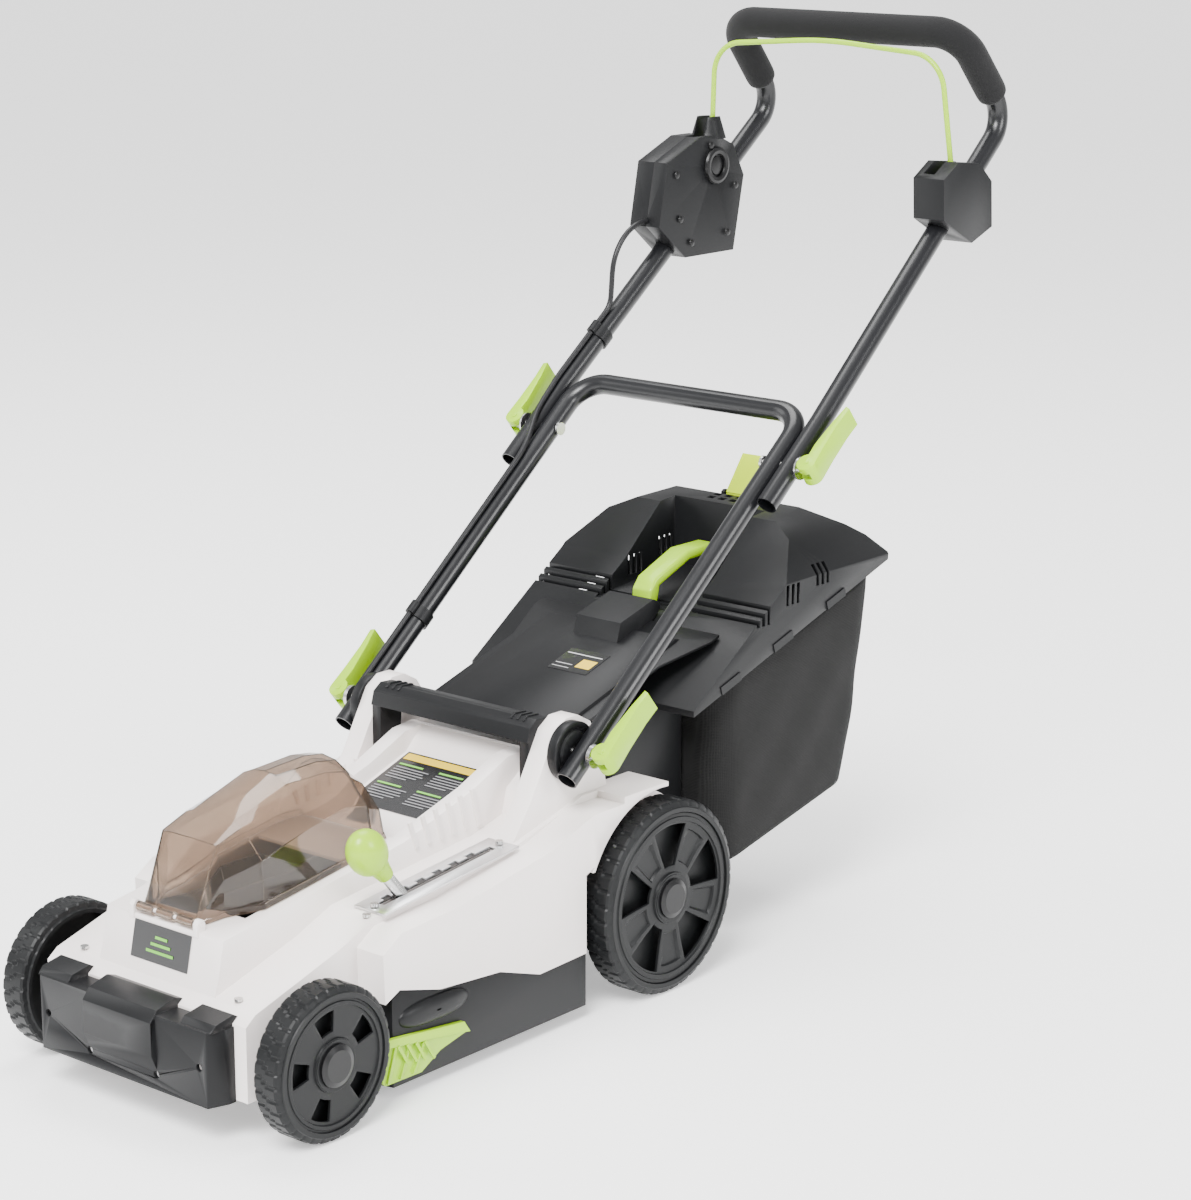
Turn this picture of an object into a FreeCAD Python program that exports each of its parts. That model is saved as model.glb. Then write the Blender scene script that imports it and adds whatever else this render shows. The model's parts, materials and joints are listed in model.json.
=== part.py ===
"""Cordless push lawn mower with a folding handle, a rear grass bag and a four-wheel height adjuster.

Frame: +Z up, +Y to the rear, +X to the mower's left, origin on the ground under the middle of its box.
Every sub-part is drawn from the front axle's line (y = 0 there) and its Placement carries it to its place.
"""
import FreeCAD
import Part
import Sketcher
import math
import os
import re

doc = FreeCAD.newDocument("lawn_mower")
sheet = doc.addObject("Spreadsheet::Sheet", "Size")

# Driving dimensions in millimetres and degrees, by the name the expressions use.
SIZES = {
    # frame
    "front_axle_y": -494.4,
    "wheelbase": 479.6,
    "wall": 3.0,
    "run_fit": 0.05,
    # wheels
    "front_wheel": 73.0,
    "rear_wheel": 100.0,
    "front_wheel_width": 35.0,
    "rear_wheel_width": 38.0,
    "front_track": 188.5,
    "rear_track": 184.5,
    "axle": 5.0,
    "cap": 20.0,
    "windows": 5.0,
    # height adjuster
    "crank_y": 37.6,
    "crank_drop": 13.7,
    "arm_inner": 137.0,
    "arm_thick": 7.0,
    "arm_half": 9.0,
    "link_y": 17.0,
    "link_z": 29.4,
    "link_inner": 105.0,
    "link_thick": 4.0,
    "rod_inner": 111.0,
    "rod_thick": 4.0,
    "lever_y": 204.5,
    "lever_z": 117.5,
    "lever_x": 119.5,
    "lever_thick": 4.0,
    "lever_lean": 40.0,
    "lever_reach": 118.0,
    "link_pin": 3.0,
    # deck
    "narrow": 134.0,
    "broad": 168.0,
    "skirt": 164.5,
    "skirt_wall": 3.5,
    "skirt_low": 14.0,
    "skirt_high": 108.0,
    "pan_top": 78.0,
    "chute_half": 99.5,
    "spine": 78.0,
    "trough": 60.0,
    "ear_in": 106.0,
    "ear_out": 128.0,
    "arch": 112.0,
    # cutter
    "blade_y": 215.0,
    "blade_radius": 154.0,
    "blade_low": 42.0,
    "blade_thick": 3.0,
    "shaft": 6.0,
    "motor": 42.0,
    # battery bay
    "bay_half": 61.0,
    "bay_front": 13.0,
    "bay_rear": 147.0,
    "hinge_y": -27.0,
    "hinge_z": 179.0,
    "cover_half": 68.0,
    "cover_skin": 2.2,
    # handles
    "tube": 11.0,
    "tube_bore": 9.6,
    "fold_y": 383.0,
    "fold_z": 266.5,
    "joint_y": 681.0,
    "joint_z": 507.0,
    "rake": 38.9,
    "lower_half": 151.0,
    "upper_half": 173.5,
    "grip_half": 154.0,
    "grip_y": 996.0,
    "grip_z": 925.0,
    "grip": 17.0,
    "bolt": 4.0,
    "lower_pin": 178.0,
    "upper_pin": 197.5,
    "cam": 10.5,
    "cam_width": 24.0,
    "cam_length": 78.0,
    "cable": 3.0,
    # bail and switch
    "bail_y": 972.0,
    "bail_z": 782.0,
    "bail_x": 163.0,
    "bail_wire": 3.0,
    # flap and bag
    "flap_y": 402.0,
    "flap_z": 262.0,
    "flap_half": 121.0,
    "flap_slope": 0.30,
    "bag_half": 148.0,
    "lid_half": 152.0,
    "bag_skin": 2.5,
    "mouth_half": 98.0,
}
for row, (alias, value) in enumerate(SIZES.items(), 1):
    sheet.set(f"A{row}", alias)
    sheet.set(f"B{row}", str(value))
    sheet.setAlias(f"B{row}", alias)
doc.recompute()

WORD = re.compile(r"[a-z_]+")


def size(alias):
    """The sheet's number for an alias."""
    return float(sheet.get(alias))


def formula(text):
    """An expression in the sheet's aliases, ready for setExpression."""
    return WORD.sub(lambda m: "Size." + m.group() if m.group() in SIZES else m.group(), str(text))


def number(text):
    """The value of such an expression now."""
    return float(sheet.evalExpression(formula(text)))


def bind(thing, **properties):
    """Bind properties to expressions; a double underscore in a name stands for a dot."""
    for name, text in properties.items():
        thing.setExpression(name.replace("__", "."), formula(text))
    return thing


# ---------------------------------------------------------------------------------------------
# Building blocks
# ---------------------------------------------------------------------------------------------
def prism(name, plane, outline, start, length):
    """A body padded from a closed outline on XY, XZ or YZ; start is its distance along the plane's normal."""
    body = doc.addObject("PartDesign::Body", name)
    sketch = body.newObject("Sketcher::SketchObject", name + "_outline")
    base = next(f for f in body.Origin.OriginFeatures if f.Role == plane + "_Plane")
    sketch.AttachmentSupport = [(base, "")]
    sketch.MapMode = "FlatFace"
    corners = [FreeCAD.Vector(number(a), number(b), 0) for a, b in outline]
    count = len(corners)
    for i in range(count):
        sketch.addGeometry(Part.LineSegment(corners[i], corners[(i + 1) % count]))
    for i in range(count):
        sketch.addConstraint(Sketcher.Constraint("Coincident", i, 2, (i + 1) % count, 1))
    for i, pair in enumerate(outline):
        for kind, text, value in zip(("DistanceX", "DistanceY"), pair, corners[i]):
            index = sketch.addConstraint(Sketcher.Constraint(kind, -1, 1, i, 1, value))
            if WORD.search(str(text)):
                sketch.setExpression(f"Constraints[{index}]", formula(text))
    bind(sketch, AttachmentOffset__Base__z=start)
    pad = body.newObject("PartDesign::Pad", name + "_pad")
    pad.Profile = sketch
    bind(pad, Length=length)
    return body


def slab(name, outline, half, inner=None):
    """Side outline (y, z) carried across x from -half to half, or from inner to half on the left side."""
    start = f"-({half})" if inner is None else inner
    return prism(name, "YZ", outline, start, f"({half}) - ({start})")


def box(name, x, y, z):
    """A block from its low and high limits along each axis."""
    block = doc.addObject("Part::Box", name)
    bind(block, Length=f"({x[1]}) - ({x[0]})", Width=f"({y[1]}) - ({y[0]})", Height=f"({z[1]}) - ({z[0]})")
    return bind(block, Placement__Base__x=x[0], Placement__Base__y=y[0], Placement__Base__z=z[0])


def rod(name, axis, radius, low, high, centre):
    """A cylinder along X, Y or Z between two limits; centre is its other two coordinates in order."""
    bar = doc.addObject("Part::Cylinder", name)
    bind(bar, Radius=radius, Height=f"({high}) - ({low})")
    turn = {"x": ((0, 1, 0), 90), "y": ((1, 0, 0), -90), "z": ((0, 0, 1), 0)}[axis]
    bar.Placement.Rotation = FreeCAD.Rotation(FreeCAD.Vector(*turn[0]), turn[1])
    places = {"x": (low, *centre), "y": (centre[0], low, centre[1]), "z": (*centre, low)}[axis]
    return bind(bar, Placement__Base__x=places[0], Placement__Base__y=places[1], Placement__Base__z=places[2])


def fuse(name, *pieces):
    """One shape of touching or crossing pieces."""
    joined = doc.addObject("Part::MultiFuse", name)
    joined.Shapes = list(pieces)
    joined.Refine = True
    return joined


def cut(name, base, *tools):
    """A base less its tools."""
    result = doc.addObject("Part::Cut", name)
    result.Base = base
    result.Tool = tools[0] if len(tools) == 1 else fuse(name + "_tools", *tools)
    result.Refine = True
    return result


def common(name, *pieces):
    """What all the pieces share."""
    shared = doc.addObject("Part::MultiCommon", name)
    shared.Shapes = list(pieces)
    return shared


def mirrored(name, source):
    """The same piece on the other side of the machine."""
    twin = doc.addObject("Part::Mirroring", name)
    twin.Source = source
    twin.Normal = FreeCAD.Vector(1, 0, 0)
    return twin


def group(name, *pieces):
    """Separate solids of one kind kept together."""
    together = doc.addObject("Part::Compound", name)
    together.Links = list(pieces)
    return together


def drawn(name, shape):
    """A piece whose shape comes from Part's own functions."""
    feature = doc.addObject("Part::Feature", name)
    feature.Shape = shape
    return feature


NODES = []


def node(label, piece):
    """Name a finished sub-part and set it in its place behind the front axle's line."""
    piece.Label = label
    formulas = dict(piece.ExpressionEngine)
    old = formulas.get(".Placement.Base.y") or formulas.get("Placement.Base.y")
    place = "Size.front_axle_y" if old is None else f"Size.front_axle_y + ({old})"
    piece.setExpression("Placement.Base.y", place)
    NODES.append(piece)
    return piece


# Directions of the handle: along its tubes, and square to them on the upper, forward side.
ALONG = FreeCAD.Vector(0, math.cos(math.radians(size("rake"))), math.sin(math.radians(size("rake"))))
ABOVE = FreeCAD.Vector(0, -ALONG.z, ALONG.y)
FOLD = FreeCAD.Vector(0, size("fold_y"), size("fold_z"))
JOINT = FreeCAD.Vector(0, size("joint_y"), size("joint_z"))
SIDE = FreeCAD.Vector(1, 0, 0)


def rounded_path(points, radii):
    """Straight runs joined by tangent arcs, one radius for each inner point."""
    edges = []
    start = points[0]
    for before, corner, after, radius in zip(points, points[1:], points[2:], radii):
        arrive = (corner - before).normalize()
        leave = (after - corner).normalize()
        turn = arrive.getAngle(leave)
        reach = radius * math.tan(turn / 2)
        first = corner - arrive * reach
        last = corner + leave * reach
        inward = (leave - arrive).normalize()
        middle = corner + inward * (radius / math.cos(turn / 2) - radius)
        edges.append(Part.LineSegment(start, first).toShape())
        edges.append(Part.Arc(first, middle, last).toShape())
        start = last
    edges.append(Part.LineSegment(start, points[-1]).toShape())
    return Part.Wire(edges)


def swept(path, radius):
    """A round bar along a path."""
    start = path.OrderedEdges[0]
    circle = Part.Circle(start.valueAt(start.FirstParameter), start.tangentAt(start.FirstParameter), radius)
    return path.makePipeShell([Part.Wire([circle.toShape()])], True, True)


def cylinder(radius, base, direction, length):
    """A plain cylinder from a base point along a direction."""
    return Part.makeCylinder(radius, length, base, direction)


# ---------------------------------------------------------------------------------------------
# Wheels
# ---------------------------------------------------------------------------------------------
def wheel(label, radius, width, window, track, y, z):
    """One-piece wheel: tread ring, thin face with five windows, and a hub bored for the stub axle."""
    body = doc.addObject("PartDesign::Body", label + "_body")
    sketch = body.newObject("Sketcher::SketchObject", label + "_section")
    base = next(f for f in body.Origin.OriginFeatures if f.Role == "XZ_Plane")
    sketch.AttachmentSupport = [(base, "")]
    sketch.MapMode = "FlatFace"
    rim = f"({radius} - 13)"
    section = [
        (f"1 - {width}", "axle + run_fit"), (f"1 - {width}", "17"), ("-11", "19"), ("-11", rim),
        (f"-({width})", rim), (f"-({width})", f"{radius} - 5"), (f"4 - {width}", radius),
        ("-4", radius), ("0", f"{radius} - 5"), ("0", f"{radius} - 9"), ("-5", f"{radius} - 14"),
        ("-5", "cap + 7"), ("-1", "cap + 4"), ("-1", "axle + run_fit"),
    ]
    corners = [FreeCAD.Vector(number(a), number(b), 0) for a, b in section]
    count = len(corners)
    for i in range(count):
        sketch.addGeometry(Part.LineSegment(corners[i], corners[(i + 1) % count]))
    for i in range(count):
        sketch.addConstraint(Sketcher.Constraint("Coincident", i, 2, (i + 1) % count, 1))
    for i, pair in enumerate(section):
        for kind, text, value in zip(("DistanceX", "DistanceY"), pair, corners[i]):
            index = sketch.addConstraint(Sketcher.Constraint(kind, -1, 1, i, 1, value))
            if WORD.search(str(text)):
                sketch.setExpression(f"Constraints[{index}]", formula(text))
    turned = body.newObject("PartDesign::Revolution", label + "_turned")
    turned.Profile = sketch
    turned.ReferenceAxis = (sketch, ["H_Axis"])
    turned.Angle = 360
    doc.recompute()
    full = turned.Shape.Volume
    near, far, near_half, far_half = window
    opening = body.newObject("Sketcher::SketchObject", label + "_window")
    face = next(f for f in body.Origin.OriginFeatures if f.Role == "YZ_Plane")
    opening.AttachmentSupport = [(face, "")]
    opening.MapMode = "FlatFace"
    outline = [(-near_half, near), (near_half, near), (far_half, far), (-far_half, far)]
    points = [FreeCAD.Vector(a, b, 0) for a, b in outline]
    for i in range(4):
        opening.addGeometry(Part.LineSegment(points[i], points[(i + 1) % 4]))
    for i in range(4):
        opening.addConstraint(Sketcher.Constraint("Coincident", i, 2, (i + 1) % 4, 1))
        opening.addConstraint(Sketcher.Constraint("DistanceX", -1, 1, i, 1, points[i].x))
        opening.addConstraint(Sketcher.Constraint("DistanceY", -1, 1, i, 1, points[i].y))
    pocket = body.newObject("PartDesign::Pocket", label + "_opening")
    pocket.Profile = opening
    pocket.Length = 14
    doc.recompute()
    around = body.newObject("PartDesign::PolarPattern", label + "_windows")
    around.Originals = [pocket]
    around.Axis = (next(f for f in body.Origin.OriginFeatures if f.Role == "X_Axis"), [""])
    around.Angle = 360
    bind(around, Occurrences="windows")
    body.Tip = around
    doc.recompute()
    assert around.Shape.Volume < full - 4000, label
    return bind(body, Placement__Base__x=track, Placement__Base__y=y, Placement__Base__z=z)


def hub_cap(label, track, y, z):
    """Round cap pressed on the hub's outer end, slightly domed."""
    disc = rod(label + "_disc", "x", "cap", f"{track} - 0.95", f"{track} + 1.5", (y, z))
    crown = doc.addObject("Part::Cone", label + "_crown")
    bind(crown, Radius1="cap", Radius2="cap - 5", Height="2")
    crown.Placement.Rotation = FreeCAD.Rotation(FreeCAD.Vector(0, 1, 0), 90)
    bind(crown, Placement__Base__x=f"{track} + 1.5", Placement__Base__y=y, Placement__Base__z=z)
    return fuse(label + "_cap", disc, crown)


FRONT_WINDOW = (32, 52, 7, 12)
REAR_WINDOW = (33, 76, 8, 25)
front_wheel = wheel("front_wheel_left", "front_wheel", "front_wheel_width", FRONT_WINDOW, "front_track", "0",
                    "front_wheel")
rear_wheel = wheel("rear_wheel_left", "rear_wheel", "rear_wheel_width", REAR_WINDOW, "rear_track",
                   "wheelbase",
                   "rear_wheel")
node("front_wheel_left", front_wheel)
node("rear_wheel_left", rear_wheel)
front_cap = node("front_cap_left", hub_cap("front_cap_left", "front_track", "0", "front_wheel"))
rear_cap = node("rear_cap_left", hub_cap("rear_cap_left", "rear_track", "wheelbase", "rear_wheel"))


def right_hand(label, source):
    """A right-hand node made as the mirror image of a placed left-hand node."""
    twin = mirrored(label + "_mirror", source)
    twin.Label = label
    NODES.append(twin)
    return twin


right_hand("front_wheel_right", front_wheel)
right_hand("rear_wheel_right", rear_wheel)
right_hand("front_cap_right", front_cap)
right_hand("rear_cap_right", rear_cap)


# ---------------------------------------------------------------------------------------------
# Height adjuster: two cranked axles, a link rod and a lever
# ---------------------------------------------------------------------------------------------
def strap(name, x, low, high, radius):
    """Flat bar with round ends between two (y, z) points, x being its low and high limits."""
    start = FreeCAD.Vector(0, number(low[0]), number(low[1]))
    finish = FreeCAD.Vector(0, number(high[0]), number(high[1]))
    run = finish - start
    ends = [rod(f"{name}_end{i}", "x", radius, x[0], x[1], point) for i, point in enumerate((low, high))]
    web = doc.addObject("Part::Box", name + "_web")
    bind(web, Length=f"({x[1]}) - ({x[0]})", Height=f"2 * ({radius})")
    web.Width = run.Length
    lean = math.degrees(math.atan2(run.z, run.y))
    turn = FreeCAD.Rotation(FreeCAD.Vector(1, 0, 0), lean)
    corner = start + turn.multVec(FreeCAD.Vector(0, 0, -number(radius)))
    web.Placement = FreeCAD.Placement(FreeCAD.Vector(number(x[0]), corner.y, corner.z), turn)
    return fuse(name, *ends, web)


def crank(label, axle_y, axle_z, track):
    """Torsion bar with an arm and stub axle at each end and a short lever for the link rod."""
    pivot = (f"{axle_y} + crank_y", f"{axle_z} - crank_drop")
    pin = (f"{axle_y} + crank_y + link_y", f"{axle_z} - crank_drop + link_z")
    bar = rod(label + "_bar", "x", "axle", "-arm_inner", "arm_inner", pivot)
    outer = "arm_inner + arm_thick"
    arm = strap(label + "_arm", ("arm_inner", outer), pivot, (axle_y, axle_z), "arm_half")
    stub = rod(label + "_stub", "x", "axle", outer, f"{track} - 2", (axle_y, axle_z))
    left = fuse(label + "_left", arm, stub)
    lever = strap(label + "_lever", ("link_inner", "link_inner + link_thick"), pivot, pin, "7")
    peg = rod(label + "_peg", "x", "link_pin", "link_inner", "rod_inner + rod_thick + 1", pin)
    return fuse(label + "_crank", bar, left, mirrored(label + "_right", left), lever, peg)


node("front_axle", crank("front_axle", "0", "front_wheel", "front_track"))
node("rear_axle", crank("rear_axle", "wheelbase", "rear_wheel", "rear_track"))

# The link rod's front eye is the linkage's open pivot, so it is bored wide.
front_pin = ("crank_y + link_y", "front_wheel - crank_drop + link_z")
rear_pin = ("wheelbase + crank_y + link_y", "rear_wheel - crank_drop + link_z")
drive_pin = ("lever_y + 17", "lever_z - 19.4")
rod_span = ("rod_inner", "rod_inner + rod_thick")
link_bar = strap("link_bar", rod_span, front_pin, rear_pin, "4")
front_eye = rod("front_eye", "x", "8", *rod_span, front_pin)
rear_eye = rod("rear_eye", "x", "7", *rod_span, rear_pin)
drive_peg = rod("drive_peg", "x", "link_pin", "rod_inner + rod_thick", "lever_x + lever_thick + 1", drive_pin)
link_solid = fuse("link_solid", link_bar, front_eye, rear_eye, drive_peg)
open_bore = rod("open_bore", "x", "link_pin + 1.5", "rod_inner - 1", "rod_inner + rod_thick + 1", front_pin)
rear_bore = rod("rear_bore", "x", "link_pin + run_fit", "rod_inner - 1", "rod_inner + rod_thick + 1",
                rear_pin)
node("link_rod", cut("link_rod_cut", link_solid, open_bore, rear_bore))

# The lever stands upright in its own drawing and leans forward into the first notch.
lever_span = ("lever_x", "lever_x + lever_thick")
blank = slab("lever_blank", [("-10", "-34"), ("10", "-34"), ("10", "6"), ("6", "20"), ("6", "lever_reach"),
                             ("-6", "lever_reach"), ("-6", "20"), ("-10", "6")], lever_span[1], lever_span[0])
fork = box("lever_fork", ("lever_x - 1", "lever_x + lever_thick + 1"), ("-6.3", "6.3"), ("-40", "-10.5"))
pivot_bore = rod("lever_bore", "x", "link_pin + run_fit", "lever_x - 1", "lever_x + lever_thick + 1",
                 ("0", "0"))
lever = cut("lever_cut", blank, fork, pivot_bore)
bulb = doc.addObject("Part::Ellipsoid", "knob_bulb")
bulb.Angle1 = -90
bind(bulb, Radius1="25", Radius2="17", Radius3="21")
bind(bulb, Placement__Base__x="lever_x + lever_thick / 2", Placement__Base__z="lever_reach + 28")
neck = doc.addObject("Part::Cone", "knob_neck")
bind(neck, Radius1="8", Radius2="12", Height="22")
bind(neck, Placement__Base__x="lever_x + lever_thick / 2", Placement__Base__z="lever_reach - 9")
socket = box("knob_socket", lever_span, ("-6", "6"), ("lever_reach - 20", "lever_reach"))
knob = cut("knob_cut", fuse("knob_solid", bulb, neck), socket)
for label, piece in (("height_lever", lever), ("height_knob", knob)):
    piece.Placement.Rotation = FreeCAD.Rotation(FreeCAD.Vector(1, 0, 0), size("lever_lean"))
    bind(piece, Placement__Base__y="lever_y", Placement__Base__z="lever_z")
    node(label, piece)


# ---------------------------------------------------------------------------------------------
# Deck shells
# ---------------------------------------------------------------------------------------------
def inside(text):
    """A half-width less the shell's wall."""
    return f"{text} - wall"


# Lower deck: a skirt around the cutter, a flat pan over it and two arms beside the rear wheels.
def plan(grow):
    """Skirt outline on the ground plane, each face moved in by the skirt's wall times grow."""
    t = f"{grow} * skirt_wall"
    right = [(f"112 - {t}", f"46 + {t}"), (f"narrow - 4 - {t}", f"60 + {t}"),
             (f"narrow - 4 - {t}", f"88 + {t}"),
             (f"skirt - {t}", f"96 + {t}"), (f"skirt - {t}", f"362.8 - {t}"),
             (f"narrow - 4 - {t}", f"362.8 - {t}"),
             (f"narrow - 4 - {t}", f"400 - {t}")]
    return right + [(f"-({x})", y) for x, y in reversed(right)]


skirt = prism("skirt", "XY", plan(0), "skirt_low", "skirt_high - skirt_low")
under = prism("under_pan", "XY", plan(1), "skirt_low - 1", "pan_top - skirt_wall - skirt_low + 1")
over = prism("over_pan", "XY", plan(1), "pan_top", "skirt_high - pan_top + 1")
shaft_hole = rod("shaft_hole", "z", "9", "pan_top - 10", "pan_top + 10", ("0", "blade_y"))
way_up = box("way_up", ("3.5 - chute_half", "chute_half - 3.5"), ("336", "396"), ("20", "skirt_high + 2"))
way_back = box("way_back", ("-chute_half - 0.1", "chute_half + 0.1"), ("390", "405"),
               ("pan_top", "skirt_high + 2"))
link_way = box("link_way", ("link_inner - 2", "rod_inner + rod_thick + 2"), ("40", "66"),
               ("40", "skirt_high + 2"))
link_way_back = box("link_way_back", ("rod_inner - 2", "rod_inner + rod_thick + 2"), ("394", "402"),
                    ("98", "skirt_high + 2"))
rail = slab("rear_rail", [("400", "60"), ("532", "60"), ("532", "104"), ("400", "104")], "narrow - 4",
            "narrow - 13")
rails = fuse("rear_rails", rail, mirrored("rear_rail_right", rail))
lip = slab("arch_lip", [("362.7", "skirt_low"), ("369", "skirt_low"), ("369", "134"), ("366.05", "134"),
                        ("366.05", "69.5"), ("362.7", "69.5")], "skirt", "narrow + 0.1")
lips = fuse("arch_lips", lip, mirrored("arch_lip_right", lip))
rear_bar_way = rod("rear_bar_way", "x", "axle + run_fit", "-broad", "broad",
                   ("wheelbase + crank_y", "rear_wheel - crank_drop"))
pan = cut("pan", skirt, under, over, shaft_hole, way_up, way_back, link_way, link_way_back)
node("lower_deck", cut("lower_deck_cut", fuse("lower_deck_solid", pan, rails, lips), rear_bar_way))

# Discharge chute: from the pan's rear up to the bag's mouth under the flap.
chute_outer = [("332.5", "pan_top + 0.1"), ("396", "pan_top + 0.1"), ("452", "108"), ("452", "242"),
               ("416", "236")]
chute_inner = [("336", "60"), ("392", "60"), ("392", "pan_top + 4"), ("453", "112"), ("453", "238.5"),
               ("418.5", "232.5")]
node("discharge_chute", cut("chute_cut", slab("chute_outside", chute_outer, "chute_half"),
                            slab("chute_inside", chute_inner, "chute_half - 3.5")))

# Upper deck: core between the wheels, a broad middle, the raised spine and two ears.
core_top = [("-58", "112"), ("-46", "121"), ("60", "152"), ("106", "170"), ("300", "189"), ("372", "207"),
            ("480", "213"), ("528", "186")]
core = slab("core", [("-58", "40")] + core_top + [("532", "106"), ("372", "106"), ("372", "90"), ("50", "90"),
                                                  ("46", "40")], "narrow")
broad_top = [("82", "148"), ("106", "163"), ("187", "168"), ("314", "188"), ("372", "207"), ("400", "216"),
             ("492", "216")]
broad_low = [("492", "206"), ("366", "150"), ("366", "70"), ("297", "68"), ("240", "87"), ("157", "94"),
             ("103", "109"), ("84", "100")]
middle = slab("middle", broad_top + broad_low, "broad")
spine_low = [("452", "150"), ("-46", "100")]
spine_top = [("-46", "112"), ("-38", "136"), ("-30", "172"), ("206", "206"), ("300", "234"), ("352", "256"),
             ("381", "259"), ("381", "246"), ("452", "246")]
spine = slab("spine_block", spine_top + spine_low, "spine")
tail = slab("tail_block", [("330", "150"), ("350", "225"), ("381", "246"), ("452", "246"), ("452", "150")],
            "ear_in")
ear = slab("ear", [("300", "185"), ("330", "226"), ("352", "264"), ("366", "288"), ("382", "298"),
                   ("400", "298"),
                   ("418", "288"), ("430", "270"), ("446", "206")], "ear_out", "ear_in")
ears = fuse("ears", ear, mirrored("ear_right", ear))
lug = slab("cover_lug", [("-32", "168"), ("-32", "180"), ("-29", "184"), ("-25", "184"), ("-22", "180"),
                         ("-22", "168")], "46", "40")
outside = fuse("deck_outside", core, middle, spine, tail, ears, lug, mirrored("cover_lug_right", lug))

core_in = slab("core_inside", [("-55", "30"), ("-55", "110"), ("-44", "118"), ("60", "149"), ("106", "167"),
                               ("300", "186"), ("372", "203.5"), ("480", "209.5"), ("525", "183.5"),
                               ("529", "60"),
                               ("529", "30")], inside("narrow"))
middle_in = slab("middle_inside", [("85", "60"), ("85", "145"), ("106", "160"), ("187", "165"),
                                   ("314", "185"),
                                   ("363", "200"), ("363", "60")], inside("broad"))
spine_in = slab("spine_inside", [("-42", "100"), ("-42", "112"), ("-34", "136"), ("-27", "169"),
                                 ("206", "202.5"),
                                 ("300", "230.5"), ("352", "252.5"), ("378", "255.5"), ("378", "242.8"),
                                 ("453", "242.8"), ("453", "100")],
                inside("spine"))
tail_in = slab("tail_inside", [("334", "120"), ("352.5", "223"), ("382", "242.8"), ("453", "242.8"),
                               ("453", "120")],
               inside("ear_in"))
trough = slab("trough_cut", [("206", "184.5"), ("264", "205"), ("353", "235"), ("376", "258"), ("376", "300"),
                             ("206", "300")], "trough")
trough_floor = slab("trough_floor", [("203", "181"), ("264", "202"), ("354", "232"), ("380", "257"),
                                     ("376", "258"), ("353", "235"), ("264", "205"), ("203", "184.5")],
                    "trough + wall")
trough_front = slab("trough_front", [("203", "181"), ("206", "181"), ("206", "205.5"), ("203", "205")],
                    "trough + wall")
wall_left = slab("trough_wall", [("203", "181"), ("264", "202"), ("354", "232"), ("380", "257"),
                                 ("352", "255"),
                                 ("300", "233"), ("206", "205")], "trough + wall", "trough")
bay = box("bay_mouth", ("-bay_half", "bay_half"), ("bay_front", "bay_rear"), ("140", "240"))
slot_way = box("lever_slot", ("lever_x - 3", "lever_x + lever_thick + 3"), ("126", "283"), ("150", "230"))
tail_gap = box("tail_gap", ("-116", "116"), ("452", "545"), ("20", "300"))
arch_left = rod("arch_left", "x", "arch", "narrow", "broad + 5", ("wheelbase", "rear_wheel"))
arch_left_in = rod("arch_left_room", "x", "arch", "narrow + 0.01", "broad + 5", ("wheelbase", "rear_wheel"))
arch_skin = rod("arch_skin_rod", "x", "arch + wall", "narrow - wall", "broad", ("wheelbase", "rear_wheel"))
pocket_left = box("tube_pocket", ("narrow - 1", "broad + 3"), ("338", "424"), ("209", "260"))
bolt_hole = rod("ear_bolt_hole", "x", "bolt + 0.2", "-140", "140", ("fold_y", "fold_z"))
flap_pin_hole = rod("flap_pin_hole", "x", "2.5", "-120", "120", ("flap_y", "flap_z"))
cover_pin_hole = rod("cover_pin_hole", "x", "2.1", "-50", "50", ("hinge_y", "hinge_z"))
front_bar_way = rod("front_bar_way", "x", "axle + 2.5", "-140", "140",
                    ("crank_y", "front_wheel - crank_drop"))
rear_bar_way_up = rod("rear_bar_way_up", "x", "axle + 2.5", "-140", "140",
                      ("wheelbase + crank_y", "rear_wheel - crank_drop"))
hollow = fuse("deck_hollow", core_in, middle_in, spine_in, tail_in)
shell = cut("deck_shell", outside, hollow, trough, tail_gap)
arch_wall = common("arch_wall", cut("arch_ring", arch_skin, arch_left_in),
                   slab("arch_zone", [("366", "150"), ("366", "204"), ("400", "215"), ("492", "215"),
                                      ("492", "150")], "broad", "narrow - wall"))
shell = fuse("deck_walled", shell, arch_wall, mirrored("arch_wall_right", arch_wall), trough_floor,
             trough_front,
             wall_left, mirrored("trough_wall_right", wall_left))
node("upper_deck", cut("upper_deck_cut", shell, arch_left, mirrored("arch_right", arch_left), bay, slot_way,
                       pocket_left, mirrored("tube_pocket_right", pocket_left), bolt_hole, flap_pin_hole,
                       cover_pin_hole, front_bar_way, rear_bar_way_up))

# Front bumper: a hollow bar with a raised grab scoop in the middle and four fixing holes.
bumper_plan = [("-112", "-86"), ("112", "-86"), ("119", "-66"), ("119", "-47"), ("-119", "-47"),
               ("-119", "-66")]
bumper_room = [("-108", "-82"), ("108", "-82"), ("115.5", "-65"), ("115.5", "-46"), ("-115.5", "-46"),
               ("-115.5", "-65")]
bumper_block = prism("bumper_block", "XY", bumper_plan, "38", "72")
bumper_inside = prism("bumper_inside", "XY", bumper_room, "37", "69")
scoop = slab("scoop", [("-86", "58"), ("-92", "72"), ("-92", "104"), ("-84", "114"), ("-62", "120"),
                       ("-50", "116"),
                       ("-50", "105"), ("-86", "105")], "46")
corner_top = slab("corner_top", [("-84", "109"), ("-78", "116"), ("-56", "120"), ("-49", "116"),
                                 ("-49", "109")],
                  "117", "76")
fixings = [rod(f"bumper_hole_{i}", "y", "3.5", "-90", "-70", spot)
           for i, spot in enumerate((("-102", "75"), ("-45", "53"), ("45", "53"), ("102", "75")))]
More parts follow.
